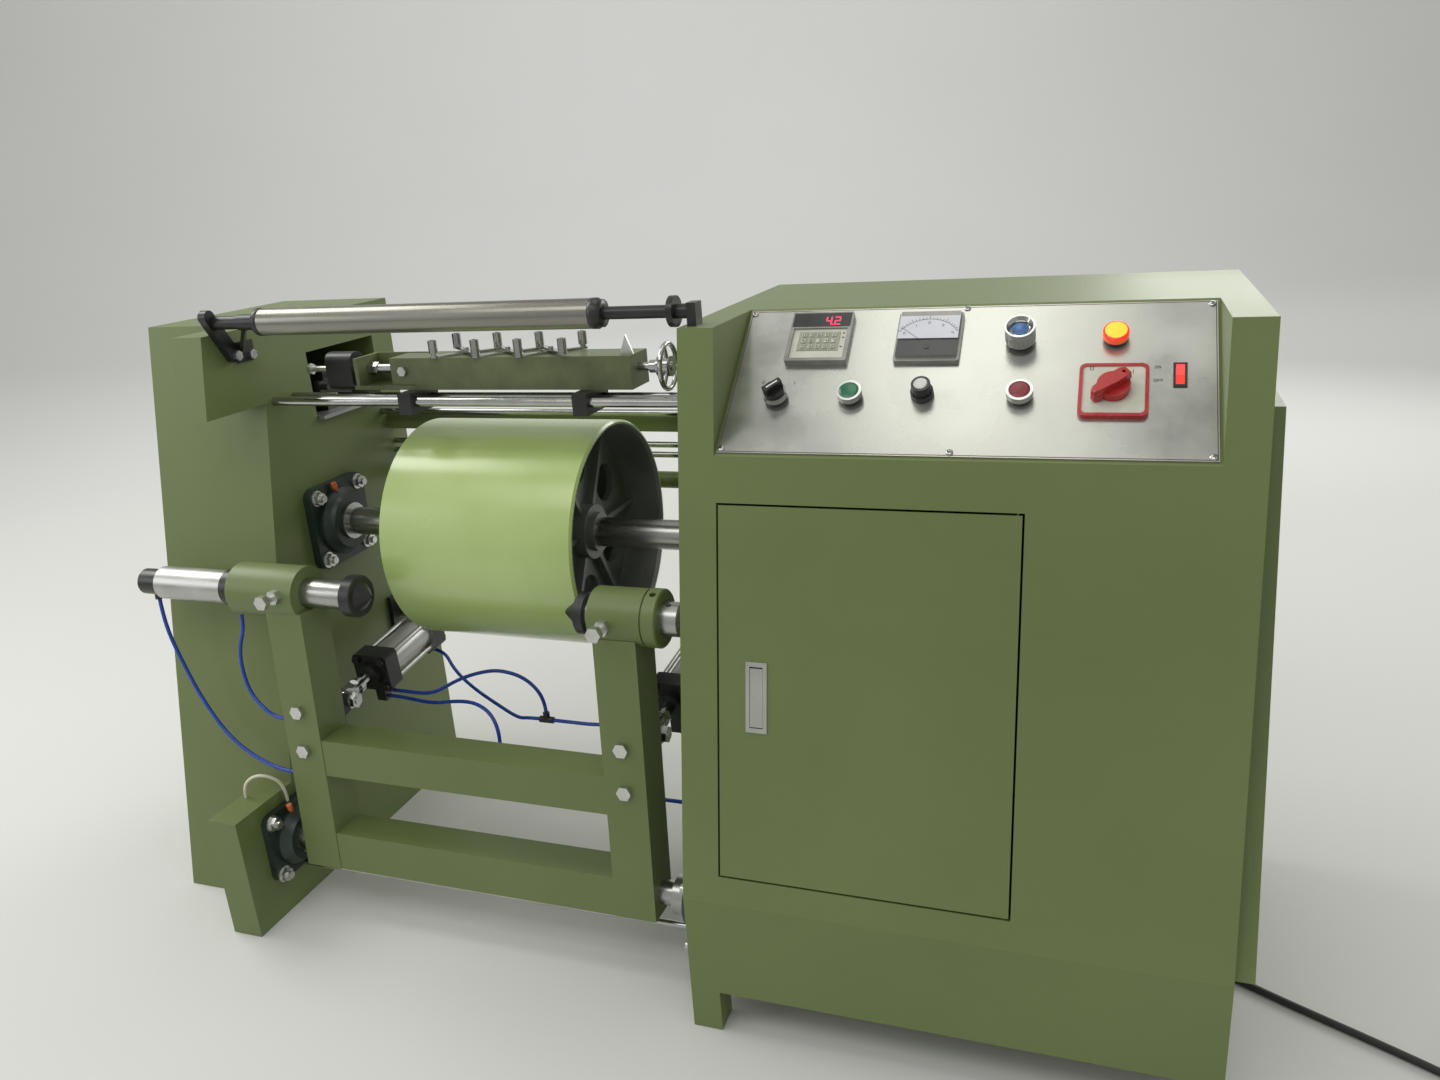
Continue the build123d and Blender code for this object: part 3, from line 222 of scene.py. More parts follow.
# %% Power cord and plug
CORD_R = 0.005
INNER, OUTER = 0.050, 0.060
PULL = 1.006                                   # a spline runs this much inside its control points
BLEND_TURNS = 0.19
route = [(0.6965, 0.0384, 0.061), (0.6965, 0.0384, 0.031), (0.7197, 0.0266, 0.005),
         (0.7791, -0.0021, 0.005), (0.874, -0.0538, 0.005), (0.9803, -0.1052, 0.005),
         (1.0636, -0.1488, 0.005)]
along = np.array([0.88598, -0.46373])          # the way the cord runs where it meets the coil
side = np.array([-along[1], along[0]])
coil_mid = np.array([1.13124, -0.11648])
TURNS, PER_TURN = 5.25, 16
t = np.arange(1, int(TURNS * PER_TURN) + 1) / PER_TURN
turn_radius = np.array([OUTER, INNER, INNER, OUTER, INNER, OUTER])
turn_height = CORD_R * np.array([1, 1, 3, 3, 5, 5])
turn_no = np.minimum(t.astype(int), 5)
before = np.maximum(turn_no - 1, 0)
blend = np.clip((t - turn_no) / BLEND_TURNS, 0, 1)
smooth = blend ** 2 * (3 - 2 * blend)
radius = (turn_radius[before] + (turn_radius[turn_no] - turn_radius[before]) * smooth) * PULL
height = turn_height[before] + (turn_height[turn_no] - turn_height[before]) * smooth
sin_t, cos_t = np.sin(2 * math.pi * t)[:, None], np.cos(2 * math.pi * t)[:, None]
coil = np.c_[coil_mid + radius[:, None] * (sin_t * along - cos_t * side), height]
meet = np.r_[coil_mid - OUTER * side, CORD_R]
leave, top = coil_mid + OUTER * along, 5 * CORD_R
tail = [np.r_[leave + side * d, top] for d in (0, 0.016, 0.030, 0.045)]
cord_line = np.vstack([route, meet - np.r_[along * 0.02, 0], meet, coil[:-1], tail])
cord_ob = cord_curve("power_cord_line", cord_line, CORD_R, rubber)
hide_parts("power_cord", "power_coil")
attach(cord_ob, "base")
round(path_length(cord_line), 3)
print("power cord", len(cord_line), "points")

# %% [markdown]
# ## Studio
# A pale floor that sweeps up into a pale wall, as on a photographer's paper roll. The sweep is a strip: its
# profile runs flat, turns up through a quarter circle and goes on straight up.

# %% Floor sweep
ahead = np.array([-math.sin(yaw), math.cos(yaw), 0.0])
across = np.array([math.cos(yaw), math.sin(yaw), 0.0])
NEAR_END, BEND_AT, BEND_R, WALL_TOP, HALF_WIDTH = -8.0, 6.5, 4.0, 12.0, 16    # metres
UNDER_FEET = 0.0005
turn = np.linspace(0, math.pi / 2, 25)
bend = np.c_[BEND_AT + BEND_R * np.sin(turn), BEND_R - BEND_R * np.cos(turn)]
profile = np.vstack([[[NEAR_END, 0.0]], bend, [[BEND_AT + BEND_R, WALL_TOP]]])
line = profile[:, :1] * ahead + profile[:, 1:] * np.array([0, 0, 1.0]) - [0, 0, UNDER_FEET]
sweep_co = np.vstack([line - HALF_WIDTH * across, line + HALF_WIDTH * across])
rows = len(line)
floor_me = bpy.data.meshes.new("floor")
quads = [(i, i + rows, i + rows + 1, i + 1) for i in range(rows - 1)]
floor_me.from_pydata(sweep_co.tolist(), [], quads)
floor_me.polygons.foreach_set("use_smooth", np.ones(rows - 1, dtype=bool))
floor_ob = bpy.data.objects.new("floor", floor_me)
scene.collection.objects.link(floor_ob)
floor_mat, floor_links, floor_bsdf = new_mat("floor_pale")
shades = [(0.3, (0.62, 0.62, 0.605)), (0.7, (0.635, 0.635, 0.62))]
shade = ramp(floor_mat, noise(floor_mat, 0.7, 3.0), shades)
floor_links.new(shade, floor_bsdf.inputs["Base Color"])
floor_bsdf.inputs["Roughness"].default_value = 0.65
floor_me.materials.append(floor_mat)
print("sweep", rows, "rows")

# %% [markdown]
# Light comes from three ceiling panels, from a window at the left front and, as in the hall of the photo,
# from an open door behind at the right. One more light washes the wall far behind. The sky is weak and
# even; it fills the shadows.

# %% Sky and lights
world = bpy.data.worlds.new("studio")
scene.world = world
world.use_nodes = True
bg = world.node_tree.nodes["Background"]
bg.inputs["Color"].default_value = (0.97, 0.98, 0.95, 1)
bg.inputs["Strength"].default_value = 0.56


def area(name, at, look, size, watts, colour):
    """A rectangular light at one point, turned to shine at another."""
    light = bpy.data.lights.new(name, "AREA")
    light.shape, light.energy, light.color = "RECTANGLE", watts, colour
    light.size, light.size_y = size
    ob = bpy.data.objects.new(name, light)
    way = Vector(look) - Vector(at)
    ob.matrix_world = Matrix.Translation(at) @ way.to_track_quat("-Z", "Y").to_matrix().to_4x4()
    scene.collection.objects.link(ob)


area("ceiling_small", (0.13, 0.35, 3.6), (0.13, 0.3, 0.4), (0.9, 1.6), 8.5, (1.0, 1.0, 0.93))
area("ceiling_left", (-3.0, 0.2, 3.2), (-0.3, 0.1, 0.4), (1.8, 2.2), 66, (1.0, 1.0, 0.95))
area("left_window", (-3.4, -2.2, 1.8), (-0.2, 0, 0.5), (1.8, 1.6), 19, (0.96, 0.98, 1.0))
area("open_door", (1.6, 3.6, 2.4), (0.2, 0.2, 0.9), (2.2, 1.8), 50, (1.0, 1.0, 0.95))
area("ceiling_front", (-0.3, -1.9, 3.1), (-0.3, 0.1, 0.6), (3.0, 1.2), 25, (1.0, 1.0, 0.96))
area("wall_wash", (-1.2, 3.0, 4.8), (-3.6, 9.4, 2.5), (8.0, 2.0), 260, (0.98, 0.99, 1.0))
print("lights", len(bpy.data.lights))

# %% [markdown]
# ## Finishes
# The machine is sprayed in one olive-green enamel. Up close such enamel has a very fine orange peel and a
# faint cloudy drift, so the colour drifts over decimetres and the bump over millimetres.

# %% Paint
paint = finish_mat("machine_paint", (0.124, 0.160, 0.050), (0.150, 0.190, 0.064), 0.44, scale=2.2, fine=260,
                   relief=0.10, coat=0.04)
drum_green = finish_mat("drum_green", (0.35, 0.47, 0.15), (0.42, 0.54, 0.20), 0.20, scale=5, fine=120,
                        relief=0.05, coat=0.8)
drum_grey = finish_mat("drum_inside", (0.16, 0.165, 0.16), (0.24, 0.245, 0.24), 0.38, 0.2, scale=14)
worn = finish_mat("worn_paint", (0.082, 0.098, 0.044), (0.140, 0.172, 0.066), 0.42, scale=16, fine=260,
                  relief=0.12, coat=0.1)
print("paints", len(bpy.data.materials))

# %% [markdown]
# Bare metal reflects its surroundings, so its roughness matters more than its colour: sheet is brushed
# and smudged, ground shafts are finer, chrome is nearly a mirror.

# %% Bare metal
stainless = finish_mat("stainless", (0.41, 0.415, 0.385), (0.55, 0.555, 0.51), 0.28, 0.9, scale=9,
                       fine=300, relief=0.05, rough_var=0.12)
steel = finish_mat("ground_steel", (0.34, 0.34, 0.32), (0.47, 0.47, 0.45), 0.26, 1.0, scale=30,
                   grain=(0.15, 1, 1), fine=700, relief=0.06)
roll_steel = finish_mat("roll_steel", (0.23, 0.222, 0.195), (0.34, 0.33, 0.29), 0.30, 0.9, scale=26,
                        grain=(0.08, 1, 1), fine=500, relief=0.10)
# Chrome's colour is kept low so that it stands for dark surroundings in its reflections: painted shade.
chrome = finish_mat("chrome", (0.42, 0.42, 0.41), (0.52, 0.52, 0.51), 0.13, 1.0, scale=24, relief=0.01,
                    rough_var=0.04)
zinc = finish_mat("zinc_bolt", (0.55, 0.55, 0.53), (0.70, 0.70, 0.68), 0.32, 1.0, scale=60)
anodised = finish_mat("anodised", (0.42, 0.42, 0.40), (0.52, 0.52, 0.50), 0.36, 0.8, scale=18,
                      grain=(1, 0.1, 1), relief=0.03)
print("metals", len(bpy.data.materials))

# %% [markdown]
# Dark castings and mouldings, and the small coloured parts of the console.

# %% Dark and coloured finishes
black = finish_mat("black_enamel", (0.010, 0.011, 0.011), (0.022, 0.023, 0.022), 0.34, 0.0, scale=30)
iron = finish_mat("bearing_green_black", (0.010, 0.020, 0.016), (0.022, 0.036, 0.028), 0.40, scale=36,
                  relief=0.25)
plastic = finish_mat("black_plastic", (0.014, 0.014, 0.014), (0.026, 0.026, 0.026), 0.30, scale=40)
smoke = finish_mat("smoky_cover", (0.20, 0.20, 0.175), (0.27, 0.27, 0.24), 0.22, scale=40, relief=0.02,
                   coat=0.6)
cream_face = finish_mat("cream_face", (0.50, 0.50, 0.42), (0.58, 0.58, 0.50), 0.40, scale=50, relief=0.01)
pad_green = finish_mat("key_field", (0.26, 0.28, 0.20), (0.32, 0.34, 0.25), 0.45, scale=60, relief=0.01)
dial_white = finish_mat("dial_face", (0.46, 0.47, 0.53), (0.54, 0.55, 0.61), 0.18, scale=30, relief=0.01,
                        coat=0.7)
meter_grey = finish_mat("meter_grey", (0.028, 0.030, 0.032), (0.045, 0.047, 0.050), 0.30, scale=40,
                        relief=0.01)
red = finish_mat("red_plastic", (0.36, 0.016, 0.018), (0.46, 0.026, 0.026), 0.28, scale=40, relief=0.02)
dark_red = finish_mat("dark_red_button", (0.15, 0.007, 0.012), (0.21, 0.010, 0.018), 0.25, scale=60,
                      relief=0.02)
green = finish_mat("green_button", (0.012, 0.12, 0.055), (0.018, 0.16, 0.075), 0.25, scale=60, relief=0.02)
blue = finish_mat("blue_cap", (0.04, 0.12, 0.30), (0.08, 0.19, 0.42), 0.24, scale=80, relief=0.02)
orange = finish_mat("orange_cap", (0.62, 0.14, 0.02), (0.72, 0.18, 0.03), 0.35, scale=80)
white = finish_mat("white_mark", (0.70, 0.70, 0.68), (0.78, 0.78, 0.76), 0.45, scale=50, relief=0.01)
# Dark ink for print and marks, also used as painted shade in the screws' cross cuts.
ink_and_slot_shade = finish_mat("dark_ink_and_slot_shade", (0.020, 0.018, 0.020), (0.034, 0.030, 0.032), 0.5, scale=50, relief=0.01)
ink_red = finish_mat("border_ink", (0.085, 0.030, 0.030), (0.12, 0.045, 0.042), 0.5, scale=30, relief=0.01)


def glow(name, colour, power, base):
    """A lit plastic: its own colour drifts a little, and it shines in the given colour."""
    m, links, b = new_mat(name)
    brighter = tuple(min(1, c * 1.2) for c in base)
    links.new(ramp(m, noise(m, 90), [(0.3, base), (0.7, brighter)]), b.inputs["Base Color"])
    b.inputs["Roughness"].default_value = 0.25
    b.inputs["Emission Color"].default_value = (*colour, 1)
    b.inputs["Emission Strength"].default_value = power
    return m


lamp_red = glow("lamp_ring", (1.0, 0.02, 0.01), 1.1, (0.75, 0.03, 0.02))
lamp_core = glow("lamp_core", (1.0, 0.30, 0.01), 1.5, (0.9, 0.30, 0.03))
lamp_side = glow("lamp_side", (1.0, 0.10, 0.02), 0.35, (0.70, 0.10, 0.03))
led_red = glow("red_digit", (1.0, 0.02, 0.10), 2.2, (0.8, 0.02, 0.05))
rocker_red = glow("rocker_red", (1.0, 0.03, 0.02), 0.6, (0.65, 0.03, 0.02))
print("finishes", len(bpy.data.materials))

# %% [markdown]
# ## Dressing the solids
# A solid often carries two or three finishes: a black casting with zinc bolts, for example. A rule looks
# at the middle of each face and gives the number of its finish, from 0. Places are in the machine's own
# millimetres: x to the right, y to the back and z up, from the inner front corner of the cabinet's foot.
# Places on the sloping console are turned into (x, s, h) = x, way up the slope, height out of the plate,
# with s = d . (0, cos a, sin a) and h = d . (0, -sin a, cos a) for the console's slope a.


# %% Rules by face
def shop(ob):
    """Face middles of a solid as x, y, z in millimetres from the cabinet's inner front corner."""
    me = ob.data
    c = np.empty(len(me.polygons) * 3)
    me.polygons.foreach_get("center", c)
    return (c.reshape(-1, 3) - SHIFT) * 1000


def dress(name, mats, rule=None):
    """Puts finishes on a solid; the rule gives the number of the finish for each face."""
    me = nodes[name].data
    me.materials.clear()
    for m in mats:
        me.materials.append(m)
    idx = np.zeros(len(me.polygons), dtype=np.int32)
    if rule:
        idx = np.asarray(rule(shop(nodes[name])), dtype=np.int32)
    me.polygons.foreach_set("material_index", idx)
    me.update()


def away(c, y, z):
    """Distance from an axis that runs along x."""
    return np.hypot(c[:, 1] - y, c[:, 2] - z)


SPAN = 725                                     # clear width between the column and the cabinet
DRUM, PIVOT = (345, 577), (105, 124)           # y, z of the drum's shaft and of the swinging frame's pivots
CLAMP, EYE = (126.7, 538), (187, 330)          # of the clamp cylinder and of the push rods' eyes
REAR_PIN = (455, 358)                          # of the push cylinders' rear pins
LEAN = math.radians(3.0)                       # the swinging frame leans back by this much
PUSH_TILT = math.radians(5.506)                # and the push cylinders slope down to it by this much
TILT = math.radians(39.2916)                   # slope of the console
DESK0 = np.array([0.0, 106.634, 768.0])        # its lower edge
E_UP = np.array([0, math.cos(TILT), math.sin(TILT)])
E_OUT = np.array([0, -math.sin(TILT), math.cos(TILT)])


def on_desk(c):
    """Places as x, s and h on the console plate."""
    d = c - DESK0
    return np.c_[d[:, 0], d @ E_UP, d @ E_OUT]


def on_swing(c):
    """Places as depth and height in the leaning plane of the swinging frame."""
    y, z = c[:, 1] - PIVOT[0], c[:, 2] - PIVOT[1]
    return y * math.cos(LEAN) - z * math.sin(LEAN), y * math.sin(LEAN) + z * math.cos(LEAN)


print("rules ready")

# %% [markdown]
# Whole solids in one finish first.

# %% Single finishes
single = {
    "cabinet_shell": paint, "cabinet_door": paint, "belt_guard": paint, "left_side_frame": paint,
    "left_column_cover": paint, "rear_tie_beams": paint, "guide_rods": chrome, "left_rod": chrome,
    "right_rod": chrome, "handwheel": chrome, "left_quill": steel, "right_quill": steel,
    "drum_shaft": steel, "guide_roll": roll_steel, "left_center": black, "right_center": black,
    "cylinder_mounts": black, "console_plate": stainless, "latch_case": stainless,
    "latch_paddle": stainless, "hose_tee": plastic, "selector_knob": plastic, "speed_knob": plastic,
    "isolator_knob": red, "green_button": green, "red_button": dark_red, "blue_button": chrome,
    "rocker_switch": rocker_red, "power_plug": plastic}
for name, m in single.items():
    dress(name, [m])
for i in range(1, 4):
    dress("reed_link_a%d" % i, [chrome])
    dress("reed_link_b%d" % i, [chrome])
print("single", len(single) + 6)

# %% [markdown]
# Solids with bolts, bosses and caps. Bolt heads are found by their distance from the bolt's middle.


# %% Machine parts with two finishes
BEARINGS = ((DRUM, 52.5, 14, 56), (PIVOT, 46, 12, 48))    # axis, half bolt square, flange, boss radius
LUGS = (-641, -108)                            # x of the swinging frame's two lugs


def bearing_rule(c):
    """0 casting, 1 bolt heads, 2 grease nipples."""
    wall = np.minimum(np.abs(c[:, 0]), np.abs(c[:, 0] + SPAN))
    out = np.zeros(len(c), dtype=int)
    for axis, half, flange, boss in BEARINGS:
        off = np.abs(c[:, 1:] - axis) - half       # from the nearest bolt's middle
        near = away(c, *axis) < 110
        bolt = (np.hypot(off[:, 0], off[:, 1]) < 14.5) & (wall > flange + 0.05)
        nipple = (away(c, *axis) > boss + 1.5) & (np.abs(wall - flange - 7) < 6)
        out[near & bolt] = 1
        out[near & nipple & (out == 0)] = 2
    return out


def swing_rule(c):
    """0 frame, 1 bolt heads: they stand before the clamp blocks and, lower down, before the tubes."""
    depth, height = on_swing(c)
    return (depth < -40.3) | ((depth < -31.2) & (height < 300))


def lug_rule(c):
    """0 stub shafts, 1 lugs, 2 the bolts through the rods' eyes."""
    off = np.minimum(np.abs(c[:, 0] - LUGS[0]), np.abs(c[:, 0] - LUGS[1]))
    bolt = (away(c, *EYE) < 14) & (off > 15.4)
    return np.where(bolt, 2, np.where((c[:, 2] > 200) & (away(c, *EYE) > 6.6), 1, 0))


def barrel_rule(c):
    """0 barrel, 1 end caps and what stands out from the barrel."""
    return (c[:, 0] < -886.5) | (c[:, 0] > -758.5) | (away(c, *CLAMP) > 26.5)


def push_rule(c):
    """0 barrel and tie rods, 1 caps and fork, by the distance along the cylinder from its rear pin."""
    y, z = c[:, 1] - REAR_PIN[0], c[:, 2] - REAR_PIN[1]
    reach = -(y * math.cos(PUSH_TILT) + z * math.sin(PUSH_TILT))
    return (reach > 161.2) | (reach < 56.4)


def carriage_rule(c):
    """0 beam, 1 the lattice's post, 2 fin and the bolt on the beam's front."""
    post = (np.abs(c[:, 0] + 403) < 6) & (c[:, 2] > 858.2)
    fin = (c[:, 0] > -150) & (c[:, 2] > 858.2)
    bolt = (np.hypot(c[:, 0] + 499, c[:, 2] - 838) < 8.5) & (c[:, 1] < 281.05)
    return np.where(post, 1, np.where(bolt | fin, 2, 0))


def slide_rule(c):
    """0 blocks, 1 draw rod."""
    return (c[:, 0] < -643.1) | ((c[:, 0] > -596.9) & (c[:, 0] < -580))


def bracket_rule(c):
    """0 casting and shaft, 1 its two bolts."""
    front = (away(c, 186, 880) < 7.7) & (c[:, 0] > -712.9)
    back = (away(c, 224, 876) < 7.7) & (c[:, 0] > -720.9)
    return (front | back) & (c[:, 0] < -706)


def drum_rule(c):
    """0 outer skin, 1 inside."""
    return (away(c, *DRUM) < 166) & (np.abs(c[:, 0] + 357.5) < 160)


dress("flange_bearings", [iron, zinc, orange], bearing_rule)
dress("swing_frame", [paint, zinc], swing_rule)
dress("swing_pivots", [steel, black, zinc], lug_rule)
dress("clamp_cylinder", [anodised, black], barrel_rule)
dress("left_cylinder", [anodised, black], push_rule)
dress("right_cylinder", [anodised, black], push_rule)
dress("reed_beam", [worn, chrome, zinc], carriage_rule)
dress("slide_blocks", [black, zinc], slide_rule)
dress("roll_bracket", [black, zinc], bracket_rule)
dress("drum", [drum_green, drum_grey], drum_rule)
dress("traverse_drive", [black, anodised], lambda c: c[:, 2] < 753.5)
print("two finishes done")

# %% [markdown]
# The devices on the console are sorted by their height over the plate: a flat face at one of the given
# heights gets the finish of that step.


# %% Console devices
def at_height(c, *steps):
    """Number of the step whose height the face middle has, from 1, and 0 for none of them."""
    h = on_desk(c)[:, 2]
    out = np.zeros(len(c), dtype=int)
    for i, v in enumerate(steps):
        out[np.abs(h - v) < 0.05] = i + 1
    return out


def ring_rule(c):
    """0 rings, 1 the rocker's frame and the black collars under the rings, partly real and partly a painted
    shadow under the rings.
    """
    p = on_desk(c)
    return (p[:, 2] < 5.95) | (p[:, 0] > 545)


def lamp_rule(c):
    """0 edge of the lens, 1 its lit middle, 2 collar, 3 side of the lens."""
    h = on_desk(c)[:, 2]
    return np.where(h > 15.38, 1, np.where(h < 6.02, 2, np.where(h < 12.95, 3, 0)))


# The black collars under the rings are partly real collars and partly a painted shadow under the rings.
dress("button_bezels", [chrome, plastic], ring_rule)
dress("signal_lamp", [lamp_red, lamp_core, plastic, lamp_side], lamp_rule)
dress("preset_counter", [smoke, pad_green, cream_face], lambda c: at_height(c, 7.3, 8.3))
dress("panel_meter", [smoke, dial_white, meter_grey, plastic], lambda c: at_height(c, 12.0, 10.5, 11.5))
dress("isolator_plate", [red, cream_face], lambda c: at_height(c, 4.8))
print("devices done")

# %% [markdown]
# ## Small pieces on the console
# Marks are flat strokes just over the surface. A stroke from p to q is the quad p - u - n, q + u - n,
# q + u + n, p - u + n, where u is half a width along the stroke and n half a width across it. Plain
# figures are made of the seven bars of a counter's digit, and N has a slanting bar.


def desk_pt(p):
    """Console places (x, s, h) in millimetres as metres in the frame."""
    p = np.asarray(p, dtype=float).reshape(-1, 3)
    return (DESK0 + p[:, :1] * [1, 0, 0] + p[:, 1:2] * E_UP + p[:, 2:] * E_OUT) / 1000 + SHIFT


def piece(name, co, faces, mat, body, smooth=False):
    """A mesh of quads that rides on a body."""
    me = bpy.data.meshes.new(name)
    me.from_pydata(np.asarray(co).tolist(), [], np.asarray(faces).tolist())
    me.polygons.foreach_set("use_smooth", np.full(len(me.polygons), smooth))
    me.materials.append(mat)
    ob = bpy.data.objects.new(name, me)
    scene.collection.objects.link(ob)
    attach(ob, body)
    return ob


def strokes(name, lines, width, h, mat, body="base"):
    """Flat strokes (x0, s0, x1, s1) at the height h over the console plate."""
    a = np.array(lines, dtype=float)
    d = a[:, 2:] - a[:, :2]
    u = d / np.linalg.norm(d, axis=1)[:, None] * width / 2
    n = np.c_[-u[:, 1], u[:, 0]]
    p0, p1 = a[:, :2] - u, a[:, 2:] + u
    flat = np.stack([p0 - n, p1 - n, p1 + n, p0 + n], axis=1).reshape(-1, 2)
    co = desk_pt(np.c_[flat, np.full(len(flat), h)])
    return piece(name, co, np.arange(len(flat)).reshape(-1, 4), mat, body)


BARS = {"a": (0, 1, 1, 1), "b": (1, 1, 1, .5), "c": (1, .5, 1, 0), "d": (0, 0, 1, 0), "e": (0, 0, 0, .5),
        "f": (0, .5, 0, 1), "g": (0, .5, 1, .5), "n": (0, 1, 1, 0)}
GLYPH = {"0": "abcdef", "1": "bc", "2": "abged", "3": "abgcd", "4": "fgbc", "5": "afgcd", "6": "afgedc",
         "7": "abc", "8": "abcdefg", "9": "abcdfg", "O": "abcdef", "F": "afeg", "N": "efnbc"}


def figures(text, x, s, w, h, step):
    """Strokes of plain figures w by h from the left end x on the base line s, one at each step."""
    out = []
    for i, ch in enumerate(text):
        for x0, s0, x1, s1 in (BARS[b] for b in GLYPH[ch]):
            out.append((x + i * step + x0 * w, s + s0 * h, x + i * step + x1 * w, s + s1 * h))
    return out


print("figures ready")

# %% [markdown]
# Round pieces are surfaces of revolution: profile point (r, h) goes round to
# middle + r (cos t e1 + sin t e2) + h e3. They are the heads of the plate's screws, each with a cross cut
# at its own angle drawn in dark strokes as painted shade, the cap of the speed knob and the blue lens.


# %% Turned pieces
def lathe(name, profile, middle, axes, mat, body, n=40):
    """Turns a profile of (r, h) in millimetres about the third of the axes, in n steps."""
    e1, e2, e3 = (np.array(e, dtype=float) for e in axes)
    p = np.array(profile, dtype=float)
    t = np.linspace(0, 2 * math.pi, n, endpoint=False)
    ring = np.cos(t)[:, None] * e1 + np.sin(t)[:, None] * e2
    co = (p[:, 0, None, None] * ring + p[:, 1, None, None] * e3).reshape(-1, 3) / 1000 + middle
    i, j = np.meshgrid(np.arange(len(p) - 1), np.arange(n), indexing="ij")
    q = np.stack([i * n + j, i * n + (j + 1) % n, (i + 1) * n + (j + 1) % n, (i + 1) * n + j], axis=-1)
    return piece(name, co, q.reshape(-1, 4), mat, body, smooth=True)


UPRIGHT = ((1, 0, 0), E_UP, E_OUT)
SCREWS = ((54, 222), (324, 224), (597, 222), (54, 7.5), (325, 7.5), (597, 7.5))
SELECTOR, SPEED, BLUE = (108.5, 84), (285, 90), (390.5, 169.5)
SLOT_REACH = 2.2
for i, (x, s) in enumerate(SCREWS):
    lathe("panel_screw_%d" % i, [(4.3, 0.02), (4.3, 0.9), (3.7, 1.7), (2.4, 2.2), (0.01, 2.4)],
          desk_pt((x, s, 0))[0], UPRIGHT, chrome, "base", 28)
    turned = 0.5 + i
    du, dv = SLOT_REACH * math.cos(turned), SLOT_REACH * math.sin(turned)
    # The cross cut is drawn as two dark strokes on the head: painted shade in the cut.
    strokes("panel_screw_slot_%d" % i, [(x - du, s - dv, x + du, s + dv), (x + dv, s - du, x - dv, s + du)],
            0.7, 2.42, ink_and_slot_shade)
lathe("speed_knob_cap", [(8.1, 21.0), (8.1, 21.4), (7.4, 21.7), (4.0, 21.5), (0.01, 21.4)],
      desk_pt((*SPEED, 0))[0], UPRIGHT, anodised, "speed")
lathe("blue_disc", [(9.6, 21.9), (9.6, 22.5), (8.8, 23.0), (0.01, 23.3)], desk_pt((*BLUE, 0))[0],
      UPRIGHT, blue, "blue")
print("turned pieces done")

# %% [markdown]
# The counter has a dark window with lit figures over its cream face, and five by three keys below it.

# %% Counter face and figures
count_x, count_s = 148, 176
KEY_STEP = 9.5


def sheet(name, x0, x1, s0, s1, h, mat):
    """A flat rectangle at the height h over the console plate."""
    corners = desk_pt([(x0, s0, h), (x1, s0, h), (x1, s1, h), (x0, s1, h)])
    return piece(name, corners, [(0, 1, 2, 3)], mat, "base")


sheet("counter_window", count_x - 37, count_x + 37, count_s + 15, count_s + 37.5, 9.12, plastic)
sheet("counter_face", count_x - 33.8, count_x + 33.8, count_s - 34.8, count_s + 12.8, 6.62, cream_face)
lit = figures("42", count_x + 6, count_s + 18.5, 6.0, 11.5, 11.0)
lit.append((count_x + 14.3, count_s + 18.3, count_x + 14.5, count_s + 18.3))
strokes("counter_figures", lit, 1.3, 9.26, led_red)
keys = []
for i in range(5):
    for j in range(3):
        x, s = count_x - 20.3 + KEY_STEP * i, count_s - 18.4 + KEY_STEP * j
        keys += figures("%d" % ((3 * i + 5 * j) % 10), x, s, 2.6, 3.8, 1)
strokes("counter_key_figures", keys, 0.75, 8.42, ink_and_slot_shade)
dots = [(count_x + x, count_s + s, count_x + x + 0.6, count_s + s)
        for x, s in ((30, 6), (30, -1), (29, -16))]
strokes("counter_dots", dots, 2.0, 6.75, ink_and_slot_shade)
print("counter", len(lit), len(keys))

# %% [markdown]
# The meter's scale is a part of a circle about a hub low on its face: 40 short strokes make the arc, every
# second step has a mark, and every tenth has a longer one with a number.

# %% Meter scale
meter_x, meter_s = 283, 175
hub = np.array([meter_x, meter_s - 18.0])
FIRST, LAST, NEEDLE = 148, 32, 140             # angles in degrees
ARC_R, SHORT_R, LONG_R, NUMBER_R = 40, 43, 45, 34


def on_dial(r, angle):
    """Console place x, s at a radius and an angle about the hub."""
    return hub + r * np.array([math.cos(math.radians(angle)), math.sin(math.radians(angle))])


angles = np.linspace(FIRST, LAST, 41)
arc = [on_dial(ARC_R, a) for a in angles]
scale = [(*p, *q) for p, q in zip(arc[:-1], arc[1:])]
scale += [(*arc[i], *on_dial(SHORT_R if i % 10 else LONG_R, angles[i])) for i in range(0, 41, 2)]
strokes("meter_scale", scale, 0.55, 12.14, ink_and_slot_shade)
numbers = []
for i in range(5):
    x, s = on_dial(NUMBER_R, angles[10 * i])
    numbers += figures("%d" % i, x - 1, s - 1.5, 2.0, 3.2, 1)
strokes("meter_numbers", numbers, 0.5, 12.14, ink_and_slot_shade)
strokes("meter_needle", [(*on_dial(11, NEEDLE), *on_dial(SHORT_R, NEEDLE))], 0.6, 12.24, ink_and_slot_shade)
sheet("meter_top", meter_x - 35.5, meter_x + 35.5, meter_s + 27.5, meter_s + 34.6, 12.1, smoke)
print("meter", len(scale))

# %% [markdown]
# A thin printed line runs round the plate. The rocker has plain words, the isolator and the selector have
# 0 and 1, and the selector's pointer is a white bar on its grip, so it turns with the knob.

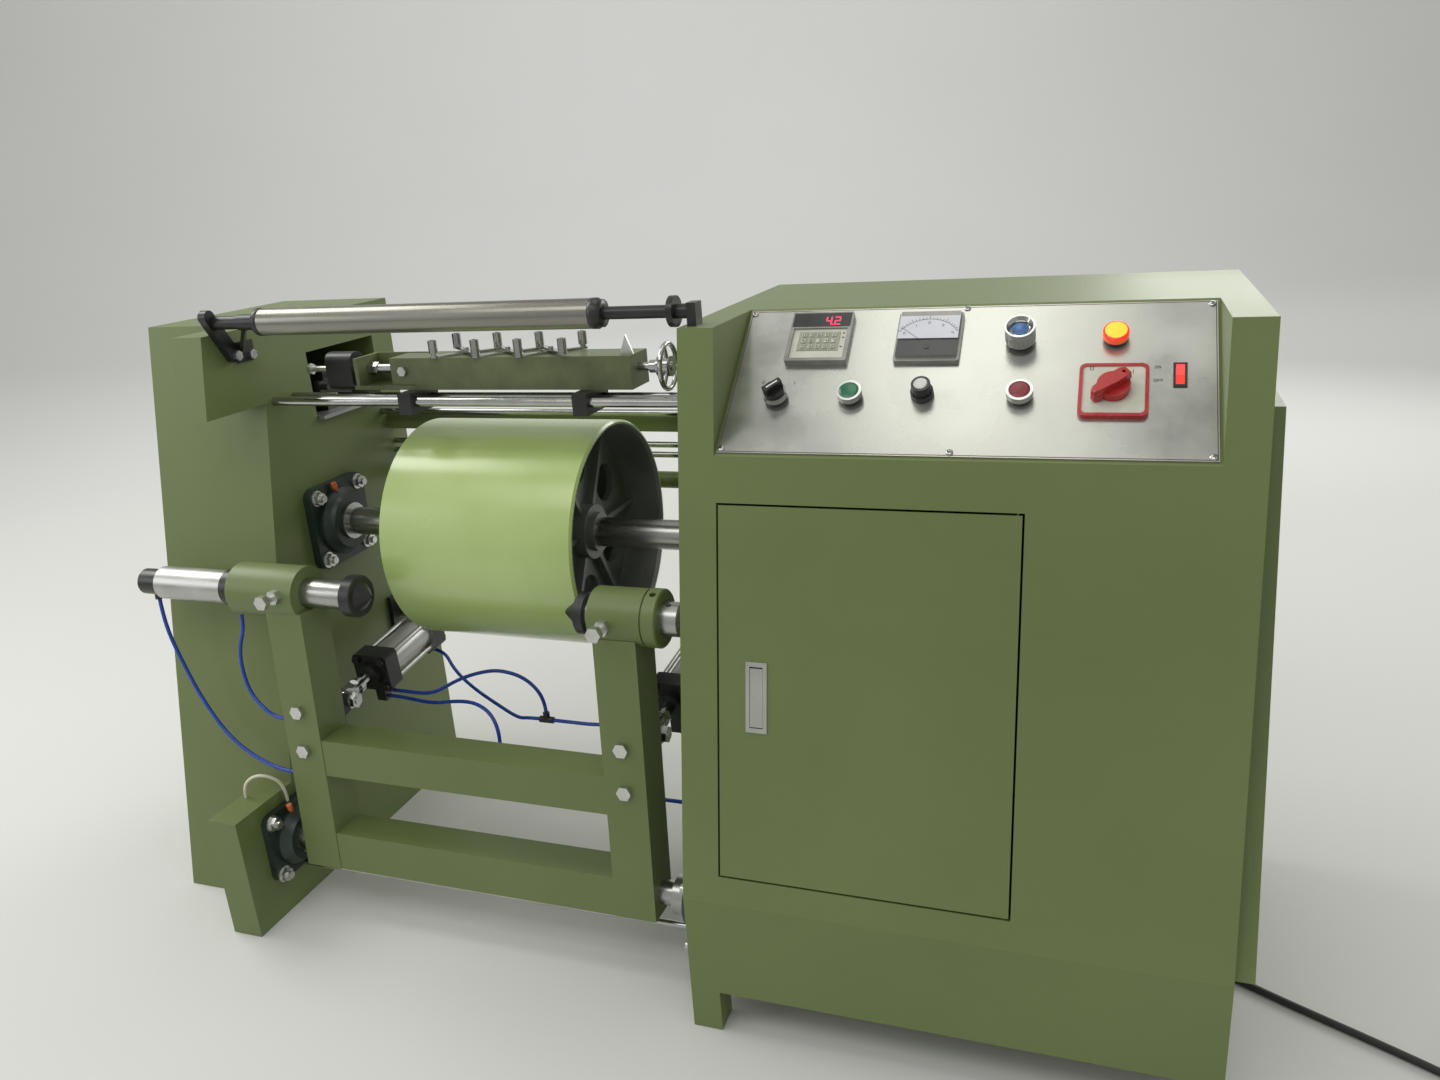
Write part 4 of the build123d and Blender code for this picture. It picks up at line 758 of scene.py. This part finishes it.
# %% Border and marks on the plate
x0, x1, s0, s1 = 50.9, 601.2, 3.9, 225.7
strokes("panel_border", [(x0, s0, x1, s0), (x1, s0, x1, s1), (x1, s1, x0, s1), (x0, s1, x0, s0)], 0.9, 0.12,
        ink_red)
word = figures("ON", 538, 128, 2.2, 3.4, 3.6) + figures("OFF", 537, 109, 2.2, 3.4, 3.6)
strokes("rocker_words", word, 0.6, 0.12, ink_and_slot_shade)
one_zero = figures("1", 513, 117, 2.4, 5, 1) + figures("0", 470, 122, 3, 5, 1)
strokes("isolator_marks", one_zero, 0.7, 4.95, ink_and_slot_shade)
zero_one = figures("0", 86, 107, 2.2, 3.6, 1) + figures("1", 125, 107, 2.2, 3.6, 1)
strokes("selector_marks", zero_one, 0.6, 0.12, ink_and_slot_shade)
turned = math.radians(48)
tip = 6.8 * np.array([math.sin(turned), math.cos(turned)])
strokes("selector_pointer", [(*(SELECTOR - tip), *(SELECTOR + tip))], 2.2, 28.2, white, "selector")
print("marks done")

# %% [markdown]
# The guide roll has a dark cap at each end, a thin turned skin over its end face and its last centimetre.

# %% Roll caps
roll_mid = np.array([0.0, 160.0, 931.0]) / 1000 + SHIFT
ALONG_X = ((0, 1, 0), (0, 0, 1), (1, 0, 0))
LEFT_CAP = [(8.5, -637.3), (17.0, -637.3), (19.3, -635.6), (19.3, -627.5), (18.9, -627.3)]
RIGHT_CAP = [(8.5, -105.7), (17.2, -105.7), (17.2, -110.7), (19.3, -112.7), (19.3, -121.0), (18.9, -121.2)]
for name, profile in (("roll_cap_left", LEFT_CAP), ("roll_cap_right", RIGHT_CAP)):
    lathe(name, profile, roll_mid, ALONG_X, black, "roll", 48)
print("roll caps done")

# %% [markdown]
# ## Edges
# Sheet metal is folded, not cut sharp. A narrow bevel on every sharp edge catches the light.

# %% Bevels
FOLDS = {"cabinet_shell": 1.6, "cabinet_door": 1.0, "belt_guard": 1.6, "left_side_frame": 1.2,
         "left_column_cover": 1.6, "rear_tie_beams": 1.0}
for name, width in FOLDS.items():
    edge = nodes[name].modifiers.new("edge", "BEVEL")
    edge.width, edge.segments = width / 1000, 2
    edge.limit_method, edge.angle_limit = "ANGLE", math.radians(30)
    edge.harden_normals = True
print("bevels done")
